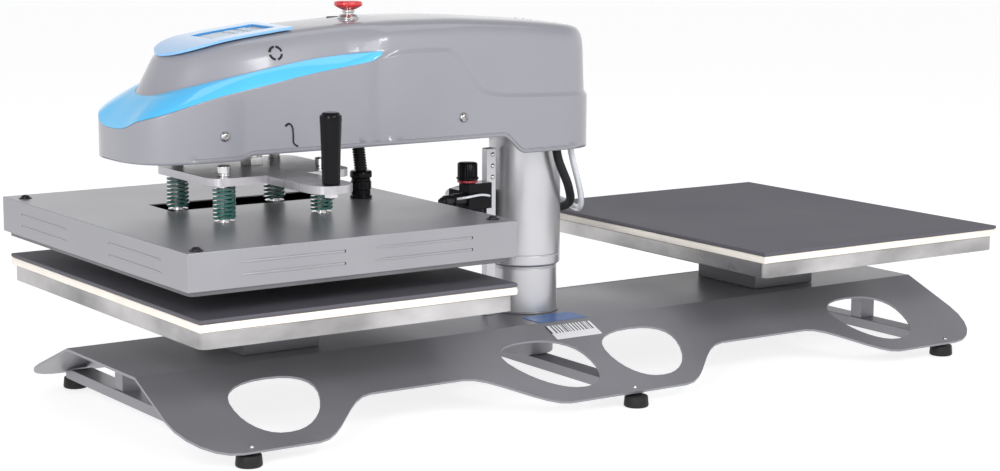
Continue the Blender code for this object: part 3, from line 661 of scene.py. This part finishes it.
def build_controls():
    # Bezel in the whitened blue (painted sheen); its recess wall in a darkened blue (painted shade).
    roof_patch("control_frame", -503.0, -358.0, 50.0, 0.0, 3.0, SHEEN_BLUE, 46.0,
               (-449.0, -369.0, 29.0),
               ("control_bezel",))
    roof_patch("frame_inner_wall", -449.6, -368.4, 29.6, 0.0, 2.2, SHADED_BLUE, 0.0,
               (-447.0, -371.0, 27.0))
    roof_patch("display_film", -448.0, -370.0, 28.0, 0.0, 0.8, SCREEN,
               stands_for=("display_panel",))
    roof_patch("display_window", -442.0, -416.0, 20.0, 0.6, 1.3, KEYS)
    for row, x in enumerate((-405.0, -388.0)):
        for column in range(4):
            y = -18.0 + 12.0 * column
            key = rounded(x - 5.0, x + 5.0, y - 4.0, y + 4.0, 2.0)
            z = roof(x) + 1.2
            slope = math.atan2(roof(x + 5.0) - roof(x - 5.0), 10.0)
            turn = (Matrix.Translation((x, 0.0, z)) @ Matrix.Rotation(-slope, 4, "Y")
                    @ Matrix.Translation((-x, 0.0, 0.0)))
            slab("display_key_%d_%d" % (row + 1, column + 1), key, 0.2, 1.0, KEYS, "head", turn,
                 0.2)


def button_screw(name, at, aim, body, radius=5.0, mat=None, washer=False):
    """Domed socket screw on a surface, its head along aim."""
    r = radius
    dome = [(0.0, r * 0.22), (r * 0.34, r * 0.22), (r * 0.40, r * 0.56), (r * 0.62, r * 0.50),
            (r * 0.86, r * 0.32),
            (r, r * 0.04), (r, -0.6), (0.0, -0.6)]
    if washer:
        dome = [(x, z + 1.0) for x, z in dome[:-2]] + [(r, 1.0), (r * 1.35, 1.0), (r * 1.35, 0.0), (0.0, 0.0)]
    lathe(name, dome, at, mat or STEEL, body, 32, aim, 0.15)


def side_point(x, z, side):
    """Point on the upper body's sloping side, and the direction out of it."""
    share = (z - glide(LEDGE_HIGH, x)) / (roof(x) - 13.0 - glide(LEDGE_HIGH, x))
    low, high = ease(x, -300.0, 72.0, -245.0, 81.5), ease(x, -300.0, 64.0, -245.0, 78.0)
    out = Vector((0.0, roof(x) - 13.0 - glide(LEDGE_HIGH, x), low - high)).normalized()
    return Vector((x, side * (low + (high - low) * share), z)), Vector((0.0, side * out.y, out.z))


def build_side_details():
    for tag, side in (("near", -1.0), ("far", 1.0)):
        for name, x, z in (("front", -465.0, 337.6), ("rear", -148.0, 340.5)):
            button_screw("side_screw_%s_%s" % (name, tag), (x, side * 85.0, z), (0.0, side, 0.0), "head", 6.0,
                         DULL_STEEL)
        centre, out = side_point(-390.0, 426.0, side)
        across = out.cross(Vector((1.0, 0.0, 0.0))).normalized()
        for quarter in range(4):
            arc = []
            for k in range(9):
                a = math.radians(90.0 * quarter + 12.0 + 66.0 * k / 8)
                arc.append(centre + Vector((1.0, 0.0, 0.0)) * 7.6 * math.cos(a) + across * 7.6 * math.sin(a))
            settle(tube_mesh("plug_arc", arc, 1.4, 8), "plug_arc_%d_%s" % (quarter + 1, tag), RUBBER, "head")
        # The hook-shaped groove is drawn as a dark tube: painted shade in the groove.
        hook = smooth_points(((-389.0, side * 85.2, 345.0), (-384.0, side * 85.2, 347.5),
                              (-379.5, side * 85.2, 343.0), (-378.5, side * 85.2, 333.0),
                              (-378.0, side * 85.2, 325.0), (-373.0, side * 85.2, 321.0)), 6)
        settle(tube_mesh("hook_groove_shade", hook, 1.5, 8, 0.5), "hook_groove_shade_" + tag, OXIDE_AND_GROOVE_SHADE, "head")
    for i in range(3):
        x = 5.0 + 12.0 * i
        lathe("roof_pip_%d" % (i + 1), ((0.0, 1.6), (1.8, 1.2), (3.0, 0.0), (3.0, -1.0), (0.0, -1.0)),
              (x, 30.0, roof(x) - 0.2), CASING, "head", 20)
    slab("roof_slot", rounded(-262.0, -236.0, 39.0, 41.5, 1.2), roof(-250.0) - 2.0, roof(-250.0) + 0.35,
         OXIDE_AND_GROOVE_SHADE,
         "head", bevel=0.1)


def build_stop():
    """Emergency stop: chrome collar, two-tier neck and ribbed mushroom cap."""
    cap, stem, collar = place("stop_button"), place("stop_stem"), place("stop_collar")
    at = (cap.cx, cap.cy, 0.0)
    ring = ((8.6, collar.z0), (13.0, collar.z0), (13.0, collar.z0 + 1.6), (12.0, collar.z0 + 2.4),
            (11.0, collar.z1 - 0.6), (10.4, collar.z1), (8.6, collar.z1))
    lathe("stop_ring", ring, at, STEEL, "head", 48, stands_for=("stop_collar",))
    neck = ((0.0, stem.z0), (7.6, stem.z0), (7.6, collar.z1 - 1.0), (6.4, collar.z1 + 0.4),
            (6.4, collar.z1 + 2.2),
            (7.8, collar.z1 + 2.6), (7.8, collar.z1 + 4.0), (6.6, collar.z1 + 4.4), (6.6, stem.z1),
            (0.0, stem.z1))
    lathe("stop_neck", neck, at, STEEL, "stop_plunger", 40, stands_for=("stop_stem",))
    z, steps = cap.z0, 96
    shape = ((0.0, 0.0), (8.0, 0.0), (9.5, 0.8), (13.5, 2.8), (16.4, 4.6), (17.0, 5.6), (17.0, 8.6),
             (16.2, 9.6),
             (12.0, 10.6), (6.0, 11.0), (0.0, 11.0))
    mesh = lathe_mesh("stop_cap", [(r, z + h) for r, h in shape], steps)
    for vertex in mesh.vertices:
        radius = vertex.co.xy.length
        if radius > 16.0 * MM:
            turn = math.atan2(vertex.co.y, vertex.co.x)
            vertex.co.xy *= 1.0 - 0.022 * (0.5 + 0.5 * math.cos(24.0 * turn))
    mesh.transform(Matrix.Translation(Vector(at) * MM))
    settle(mesh, "stop_cap", RED, "stop_head", 60.0, stands_for=("stop_button",))


# ---- column and air unit ----------------------------------------------------------
def build_column():
    sleeve, post = place("swing_sleeve"), place("column_post")
    r, bore = sleeve.x1, 35.0
    radius, top = post.x1, 141.0
    foot = top + 0.5        # the sleeve hides the washer it turns on
    lathe("sleeve_tube", ((bore, sleeve.z0), (bore + 5.0, sleeve.z0), (bore + 5.0, foot), (r - 1.6, foot),
                          (r, foot + 1.6),
                          (r, foot + 12.0), (r - 0.5, foot + 12.5), (r - 0.5, foot + 13.5), (r, foot + 14.0),
                          (r, sleeve.z1), (bore, sleeve.z1)), (0.0, 0.0, 0.0), POST_PAINT, "head",
          96,
          bevel=0.3, stands_for=("swing_sleeve",))
    lathe("post_tube", ((0.0, post.z0), (radius, post.z0), (radius, top - 4.5), (radius - 0.6, top - 4.0),
                        (radius - 0.6, top - 3.0), (radius, top - 2.5), (radius, top - 1.2),
                        (radius - 1.2, top),
                        (30.0, top), (30.0, post.z1), (0.0, post.z1)), (0.0, 0.0, 0.0), POST_PAINT, "base",
          96, bevel=0.3, stands_for=("column_post",))
    weld = []
    for i in range(121):
        a = 2.0 * math.pi * i / 120
        weld.append(Vector(((radius + 0.6) * math.cos(a), (radius + 0.6) * math.sin(a), TOP_Z + 1.0)))
    settle(tube_mesh("post_weld", weld, 1.4, 10), "post_weld", PAINT, "base")
    hub = place("column_hub")
    lathe("hub_tube", ((0.0, hub.z0), (hub.x1 - 1.0, hub.z0), (hub.x1, hub.z0 + 1.0), (hub.x1, hub.z1),
                       (0.0, hub.z1)), (0.0, 0.0, 0.0), PAINT, "base", 72,
          stands_for=("column_hub",))


def build_air_unit():
    dress("air_unit_bar", POST_PAINT, 0.8)
    bar = place("air_unit_bar")
    for i in range(3):
        button_screw("bar_screw_%d" % (i + 1), (bar.cx + 2.0, bar.y0, bar.z1 - 8.0 - 14.0 * i),
                     (0.0, -1.0, 0.0),
                     "base", 3.0)
    dress("valve_body", BLACK, 1.0)
    dress("regulator_body", BLACK, 0.8)
    knob = place("regulator_knob")
    z0, z1 = knob.z0, knob.z1
    profile = ((0.0, z0), (13.0, z0), (13.8, z0 + 1.2), (13.8, z0 + 2.6), (12.4, z0 + 3.6), (12.4, z1 - 2.0),
               (11.0, z1 - 0.4), (8.0, z1), (0.0, z1))
    mesh = lathe_mesh("knob_cap", profile, 96)
    for vertex in mesh.vertices:
        if vertex.co.xy.length > 12.0 * MM and vertex.co.z > (z0 + 3.0) * MM:
            turn = math.atan2(vertex.co.y, vertex.co.x)
            vertex.co.xy *= 1.0 - 0.05 * (0.5 + 0.5 * math.cos(24.0 * turn))
    mesh.transform(Matrix.Translation(Vector((knob.cx, knob.cy, 0.0)) * MM))
    settle(mesh, "knob_cap", BLACK, "knob", 60.0, stands_for=("regulator_knob",))
    lathe("lock_ring", ((9.2, z0 - 3.4), (12.4, z0 - 3.4), (12.9, z0 - 2.6), (12.4, z0 - 0.8),
                        (9.2, z0 - 0.8)),
          (knob.cx, knob.cy, 0.0), DARK_RED, "base", 40)
    fit = place("inlet_fitting")
    profile = ((0.0, 36.0), (3.2, 36.0), (3.2, 33.0), (5.0, 33.0), (5.0, 30.0), (7.0, 29.0), (7.0, 20.0),
               (5.8, 19.0), (5.8, 17.0), (8.0, 16.0), (8.0, 3.0), (8.5, 2.4), (8.5, 0.2), (0.0, 0.2))
    lathe("inlet_elbow", profile, (fit.x1, fit.cy, (fit.z0 + fit.z1) / 2), OXIDE_AND_GROOVE_SHADE, "base", 40,
          (-1.0, 0.0, 0.0), stands_for=("inlet_fitting",))
    loop = smooth_points(((fit.x1 - 14.0, fit.cy - 7.0, fit.z1 - 6.0),
                          (fit.x1 - 6.0, fit.cy - 15.0, fit.z1 - 4.0),
                          (fit.x1 + 14.0, fit.cy - 17.0, fit.z1 - 2.0),
                          (fit.x1 + 30.0, fit.cy - 12.0, fit.z1 - 5.0),
                          (bar.x0 - 1.0, bar.y0 + 2.0, fit.z1 - 8.0)), 8)
    settle(tube_mesh("pilot_tube", loop, 1.6, 12), "pilot_tube", HOSE, "base", 60.0)


# ---- ram, carrier and springs ------------------------------------------------------
def spring_mesh(name, x, y, z0, z1, inner, outer, turns, steps=32):
    """Rectangular-wire die spring with closed, ground ends."""
    total = int(turns * steps)
    wire = (z1 - z0) / (turns + 1.0) * 0.72
    rings = []
    for i in range(total + 1):
        share = i / total
        a = 2.0 * math.pi * turns * share
        rise = ease(share, 0.0, 0.0, 1.0, 1.0) * 0.12 + share * 0.88
        mid = z0 + wire / 2 + (z1 - z0 - wire) * rise
        taper = min(1.0, 0.45 + 6.0 * share, 0.45 + 6.0 * (1.0 - share))
        r = (outer - inner) * 0.12
        half = wire / 2 * taper
        corner = ((inner + r, -half), (outer - r, -half), (outer, -half + r), (outer, half - r),
                  (outer - r, half),
                  (inner + r, half), (inner, half - r), (inner, -half + r))
        rings.append([Vector((x + rad * math.cos(a), y + rad * math.sin(a), mid + dz)) for rad, dz in corner])
    return rings_mesh(name, rings)


def build_springs():
    for i in range(1, 5):
        solid = place("spring_%d" % i)
        bolt = place("spring_bolt_%d" % i)
        mesh = spring_mesh("spring_coil", solid.cx, solid.cy, solid.z0 + 0.2, solid.z1 - 0.2, 8.6,
                           solid.x1 - solid.cx, 8.5)
        coil = settle(mesh, "spring_coil_%d" % i, GREEN, "platen", 40.0,
                      stands_for=("spring_%d" % i,))
        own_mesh(coil)
        z0, z1 = bolt.z0, bolt.z1
        collar = bolt.x1 - bolt.cx if bolt.x1 - bolt.cx > 8.0 else 6.0
        foot = solid.z0 - 0.6
        head = z1 - 11.7
        profile = [(0.0, z0), (collar, z0), (collar, foot + 0.3)] if collar > 6.0 else [(0.0, z0), (6.0, z0)]
        profile += [(6.0, foot + 0.3)] if collar > 6.0 else []
        profile += [(6.0, head + 0.3), (7.6, head + 0.3), (7.6, head + 2.0), (6.6, head + 2.3),
                    (6.6, head + 3.4),
                    (7.6, head + 3.7), (7.6, z1 - 1.0), (6.8, z1), (3.4, z1), (3.2, z1 - 3.0),
                    (0.0, z1 - 3.0)]
        lathe("shoulder_bolt_%d" % i, profile, (bolt.cx, bolt.cy, 0.0), STEEL, "platen", 40,
              stands_for=("spring_bolt_%d" % i,))
        lathe("spring_washer_%d" % i,
              ((6.3, foot - 0.1), (11.5, foot - 0.1), (11.5, foot + 0.55), (6.3, foot + 0.55)),
              (solid.cx, solid.cy, 0.0), STEEL, "platen", 40, bevel=0.15)


def build_ram():
    dress("carrier_plate", BRUSHED, 1.0)
    dress("rod_nut", STEEL, 1.0)
    grip = place("handle_grip")
    plate = place("carrier_plate")
    z0, z1 = grip.z0, grip.z1
    base = plate.z1 + 0.3
    profile = ((0.0, z0), (3.6, z0), (4.4, z0 + 0.8), (4.4, plate.z0 - 2.6), (5.0, plate.z0 - 2.4),
               (5.0, base),
               (9.4, base), (10.0, base + 0.8), (10.0, base + 5.0), (10.6, base + 30.0), (11.9, z1 - 12.0),
               (12.2, z1 - 8.0), (12.2, z1 - 4.4), (11.6, z1 - 3.0), (10.4, z1 - 2.6), (9.6, z1 - 1.0),
               (8.4, z1), (0.0, z1))
    lathe("grip_moulding", profile, (grip.cx, grip.cy, 0.0), BLACK, "carrier", 56, bevel=0.3,
          stands_for=("handle_grip",))
    lathe("grip_nut", ((5.2, plate.z0 - 5.6), (8.2, plate.z0 - 5.6), (8.2, plate.z0 - 0.3),
                       (5.2, plate.z0 - 0.3)),
          (grip.cx, grip.cy, 0.0), STEEL, "carrier", 6, bevel=0.5)
    gland = place("conduit_gland")
    conduit = place("wire_conduit")
    at = (gland.cx, gland.cy, 0.0)
    z0, z1 = conduit.z0, conduit.z1
    ribs = [(0.0, z0), (7.8, z0)]
    z = gland.z1 - 6.0
    ribs.append((7.8, z))
    while z < z1 - 4.0:
        ribs += [(6.6, z + 0.3), (6.6, z + 1.2), (7.9, z + 1.5), (7.9, z + 2.9)]
        z += 3.2
    ribs += [(7.8, z1), (0.0, z1)]
    mesh = lathe_mesh("corrugated_conduit", ribs, 40, Matrix.Translation(at))
    for vertex in mesh.vertices:
        vertex.co.x -= 0.12 * max(0.0, vertex.co.z - gland.z1 * MM)
    settle(mesh, "corrugated_conduit", RUBBER, "platen", 60.0, stands_for=("wire_conduit",))
    g0, g1 = gland.z0, gland.z1
    profile = ((8.3, g0), (13.4, g0), (13.4, g0 + 3.0), (11.6, g0 + 3.6), (11.6, g0 + 10.0),
               (12.6, g0 + 10.6),
               (12.6, g0 + 20.0), (11.4, g0 + 21.0), (11.4, g0 + 24.0), (13.4, g0 + 25.0), (13.4, g1 - 2.0),
               (12.0, g1), (8.3, g1))
    lathe("gland_body", profile, at, BLACK, "platen", 12, bevel=0.4, stands_for=("conduit_gland",))


# ---- platens and hood ------------------------------------------------------------------
def louvre(name, start, end, out):
    """Long pressed louvre on an upright face, open at its end, where a dark disc is painted shade."""
    start, end, out = Vector(start), Vector(end), Vector(out)
    along = (end - start).normalized()
    up = Vector((0.0, 0.0, 1.0))
    length = (end - start).length
    rings = []
    for i in range(25):
        share = i / 24
        swell = min(1.0, share * 10.0) if share < 0.98 else 1.0
        size = 0.35 + 0.65 * swell
        middle = start + along * length * share
        ring = []
        for k in range(7):
            a = math.pi * k / 6
            ring.append(middle + up * 1.5 * size * math.cos(a) + out * 0.9 * size * math.sin(a))
        ring.append(middle - up * 1.2 * size - out * 0.5)
        ring.append(middle + up * 1.2 * size - out * 0.5)
        rings.append(ring)
    settle(rings_mesh(name, rings), name, HOOD_PAINT, "platen", 50.0)
    # the dark disc at the open end is painted shade in the opening
    hole = end + along * 0.4
    lathe(name + "_end", ((0.0, 0.7), (1.2, 0.5), (1.7, 0.0), (1.7, -0.4), (0.0, -0.4)), hole, PAINTED_SHADE_BLACK, "platen",
          16, tuple(out), 0.0)


def build_hood():
    dress("platen_cover", HOOD_PAINT, 1.3, segments=3)
    for face, y, out, flip in (("front", HOOD.y0, -1.0, 1.0), ("rear", HOOD.y1, 1.0, -1.0)):
        for group, (x0, x1) in enumerate(((-532.0, -407.0), (-368.0, -243.0))):
            for row, z in enumerate((226.4, 213.0)):
                ends = ((x0, y, z), (x1, y, z)) if flip > 0 else ((x1, y, z), (x0, y, z))
                louvre("louvre_%s_%d_%d" % (face, group + 1, row + 1), *ends, (0.0, out, 0.0))
    for face, x, out, flip in (("left", HOOD.x0, -1.0, 1.0), ("right", HOOD.x1, 1.0, -1.0)):
        for group, (y0, y1) in enumerate(((-185.0, -56.0), (58.0, 187.0))):
            for row, z in enumerate((225.0, 211.5)):
                ends = ((x, y0, z), (x, y1, z)) if flip > 0 else ((x, y1, z), (x, y0, z))
                louvre("louvre_%s_%d_%d" % (face, group + 1, row + 1), *ends, (out, 0.0, 0.0))
    for name, x, y in (("front_left", HOOD.x0 + 16.5, HOOD.y0 + 13.0),
                       ("rear_left", HOOD.x0 + 16.5, HOOD.y1 - 30.0),
                       ("front_right", HOOD.x1 - 18.5, HOOD.y0 + 23.0),
                       ("rear_right", HOOD.x1 - 18.5, HOOD.y1 - 30.0)):
        button_screw("hood_bolt_" + name, (x, y, HOOD.z1), (0.0, 0.0, 1.0), "platen", 5.6, OXIDE_AND_GROOVE_SHADE, True)
    heater = place("heat_platen")
    dress("heat_platen", HEATER, 1.2)
    # Near-black board over the heater, under the hood's window: painted shade in the opening.
    slab("window_shade_board", rounded(heater.x0 + 6.0, heater.x1 - 6.0, heater.y0 + 6.0, heater.y1 - 6.0, 6.0),
         heater.z1 + 1.0, heater.z1 + 7.0, PAINTED_SHADE_BLACK, "platen", bevel=0.5)


def soft_slab(name, node, mat, rim, sag):
    """A flat pad as it lies on its platen: eased rim, faint unevenness."""
    solid = place(node)
    across, deep, layers = 40, 50, 6
    half_w, half_d = (solid.x1 - solid.x0) / 2, (solid.y1 - solid.y0) / 2
    height = solid.z1 - solid.z0
    bm = bmesh.new()

    def bend(u, v, w):
        """u, v from -1 to 1 over the pad, w from 0 to 1 through it."""
        pull = sag * (0.5 + 0.5 * math.cos(2.0 * math.pi * v * 1.5)) * abs(u) ** 8
        pull_y = sag * (0.5 + 0.5 * math.cos(2.0 * math.pi * u * 1.5)) * abs(v) ** 8
        lip = rim * (abs(2.0 * w - 1.0) ** 3)
        x = u * (half_w - lip * abs(u) ** 12 - pull)
        y = v * (half_d - lip * abs(v) ** 12 - pull_y)
        ripple = 0.10 * math.sin(3.1 * u + 1.7 * v) * math.sin(2.3 * v - u) - 0.10
        edge = max(abs(u), abs(v)) ** 30
        z = solid.z0 + 0.05 + (height - 0.1) * w + (ripple - 0.25 * edge) * w
        return solid.cx + x, solid.cy + y, z

    def grid(points):
        verts = [[bm.verts.new(p) for p in row] for row in points]
        for one, two in zip(verts, verts[1:]):
            for i in range(len(one) - 1):
                bm.faces.new((one[i], one[i + 1], two[i + 1], two[i]))

    def spaced(count):
        """Stations from -1 to 1, closer together near the ends."""
        return [math.sin(math.pi / 2 * (2.0 * i / count - 1.0)) for i in range(count + 1)]

    us, vs = spaced(across), spaced(deep)
    ws = [i / layers for i in range(layers + 1)]
    for w in (0.0, 1.0):
        grid([[bend(u, v, w) for u in us] for v in vs])
    for u in (-1.0, 1.0):
        grid([[bend(u, v, w) for v in vs] for w in ws])
    for v in (-1.0, 1.0):
        grid([[bend(u, v, w) for u in us] for w in ws])
    obj = settle(from_bmesh(bm, name), name, mat, "base", 50.0, stands_for=(node,))


def build_stations():
    for side in ("left", "right"):
        dress("lower_platen_" + side, CAST, 1.2, segments=3)
        # the supports take the darker grey, painted shade
        dress("pad_support_" + side, SHADED_SUPPORT_PAINT, 1.0)
        soft_slab("pad_foam_" + side, "silicone_pad_" + side, FOAM, 0.8, 0.5)
        soft_slab("pad_top_" + side, "pad_cover_" + side, COVER, 0.6, 0.3)


# ---- base ----------------------------------------------------------------------------------
def slope_matrix(side):
    """Places a flat shape on the fold line and tilts it down and outwards."""
    tilt = Matrix.Rotation(-FLANGE_DROP, 4, "X")
    flip = Matrix.Scale(-1.0, 4, (0, 1, 0)) if side < 0 else Matrix.Identity(4)
    return flip @ Matrix.Translation((0.0, FOLD_Y, TOP_Z)) @ tilt


def build_base():
    dress("base_frame", PAINT, 0.9, angle=30.0)
    for name in ("left", "centre", "right"):
        dress("cross_channel_" + name, PAINT, 0.8)
        channel = place("cross_channel_" + name)
        for row, y in (("front", -1.0), ("rear", 1.0)):
            foot = place("foot_%s_%s" % (row, name))
            profile = ((0.0, 0.0), (13.4, 0.0), (14.6, 0.8), (15.0, 2.4), (14.0, foot.z1 - 1.0),
                       (13.4, foot.z1),
                       (0.0, foot.z1))
            lathe("foot_pad_%s_%s" % (row, name), profile, (foot.cx, foot.cy, 0.0), RUBBER, "base",
                  40,
                  bevel=0.5, stands_for=("foot_%s_%s" % (row, name),))
            turn = slope_matrix(y)
            spot = turn @ Vector((foot.cx, 152.0, 0.0))
            out = (turn.to_3x3() @ Vector((0.0, 0.0, 1.0))).normalized()
            button_screw("flange_screw_%s_%s" % (row, name), spot, out, "base", 2.6)
        if name == "centre":
            continue
        for row, y in (("front", -74.0), ("rear", 74.0)):
            leg = [(channel.x0 + 2.0, y - 10.0), (channel.x1 - 2.0, y - 10.0), (channel.x1 - 2.0, y - 7.6),
                   (channel.x0 + 4.4, y - 7.6), (channel.x0 + 4.4, y + 10.0), (channel.x0 + 2.0, y + 10.0)]
            slab("channel_leg_%s_%s" % (row, name), leg, channel.z1 + 0.3, TOP_Z - 3.3, PAINT, "base",
                 bevel=0.4)
    slab("top_sticker", rounded(-39.0, 34.0, -FOLD_Y + 0.6, -50.0, 2.0), TOP_Z + 0.05, TOP_Z + 0.25, STICKER,
         "base", bevel=0.05)
    slab("front_label", rounded(-38.0, 30.0, 8.0, 38.0, 1.5), 0.05, 0.30, LABEL, "base",
         slope_matrix(-1), 0.05)


# ---- studio --------------------------------------------------------------------------------
def build_studio():
    bpy.ops.mesh.primitive_plane_add(size=60.0, location=(0.0, 0.0, -0.0005))
    floor = bpy.context.object
    floor.name = "studio_floor"
    mat = finish("studio_white", (0.45, 0.45, 0.455), 0.01, (0.75, 0.8), bump=0.0, specular=0.1)
    shader = mat.node_tree.nodes["Principled BSDF"]
    shader.inputs["Emission Color"].default_value = (1.0, 1.0, 1.0, 1.0)
    shader.inputs["Emission Strength"].default_value = 0.74
    floor.data.materials.append(mat)
    world = bpy.data.worlds.new("studio")
    bpy.context.scene.world = world
    world.use_nodes = True
    nodes, links = world.node_tree.nodes, world.node_tree.links
    coords = nodes.new("ShaderNodeTexCoord")
    split = nodes.new("ShaderNodeSeparateXYZ")
    shade = nodes.new("ShaderNodeValToRGB")
    shade.color_ramp.elements[0].position = 0.0
    shade.color_ramp.elements[0].color = (1.0, 1.0, 1.0, 1.0)
    shade.color_ramp.elements[1].position = 0.75
    shade.color_ramp.elements[1].color = (0.22, 0.22, 0.24, 1.0)
    middle = shade.color_ramp.elements.new(0.18)
    middle.color = (1.0, 1.0, 1.0, 1.0)
    links.new(coords.outputs["Generated"], split.inputs["Vector"])
    links.new(split.outputs["Z"], shade.inputs["Fac"])
    links.new(shade.outputs["Color"], nodes["Background"].inputs["Color"])
    nodes["Background"].inputs["Strength"].default_value = 1.12
    add_softbox("key_left", (-2.1, -1.5, 1.25), (-0.35, -0.1, 0.35), (0.8, 1.4), 26.0)
    add_softbox("near_panel", (0.27, -2.28, 1.65), (-0.41, -0.065, 0.425), (0.7, 0.5), 16.0)
    add_softbox("key_front", (-0.5, -2.8, 1.5), (-0.2, 0.0, 0.3), (1.2, 0.9), 12.0)
    add_softbox("top_fill", (0.5, 0.3, 2.6), (0.2, 0.0, 0.2), (2.2, 1.4), 12.0)
    bpy.context.scene.view_settings.view_transform = "Standard"


def add_softbox(name, at, towards, size, watts):
    data = bpy.data.lights.new(name, "AREA")
    data.shape = "RECTANGLE"
    data.size, data.size_y = size
    data.energy = watts
    lamp = bpy.data.objects.new(name, data)
    aim = (Vector(towards) - Vector(at)).to_track_quat("-Z", "Y")
    lamp.matrix_world = Matrix.Translation(Vector(at)) @ aim.to_matrix().to_4x4()
    bpy.context.scene.collection.objects.link(lamp)


def finish_hidden_nodes():
    """CAD nodes that stay as they are still get the scene's finishes."""
    for node in NODES.values():
        for slot in node.material_slots:
            slot.material = BY_SLOT.get(slot.material.name, slot.material)


add_camera()
add_line("cable_bundle", "control_cable", CABLE_ROUTE, CABLE_BEND, 5.5, RUBBER)
add_line("clear_air_hose", "air_hose", HOSE_ROUTE, HOSE_BEND, 4.0, HOSE)
build_casing()
build_blue_strip()
build_controls()
build_side_details()
build_stop()
build_column()
build_air_unit()
build_springs()
build_ram()
build_hood()
build_stations()
build_base()
finish_hidden_nodes()
build_studio()
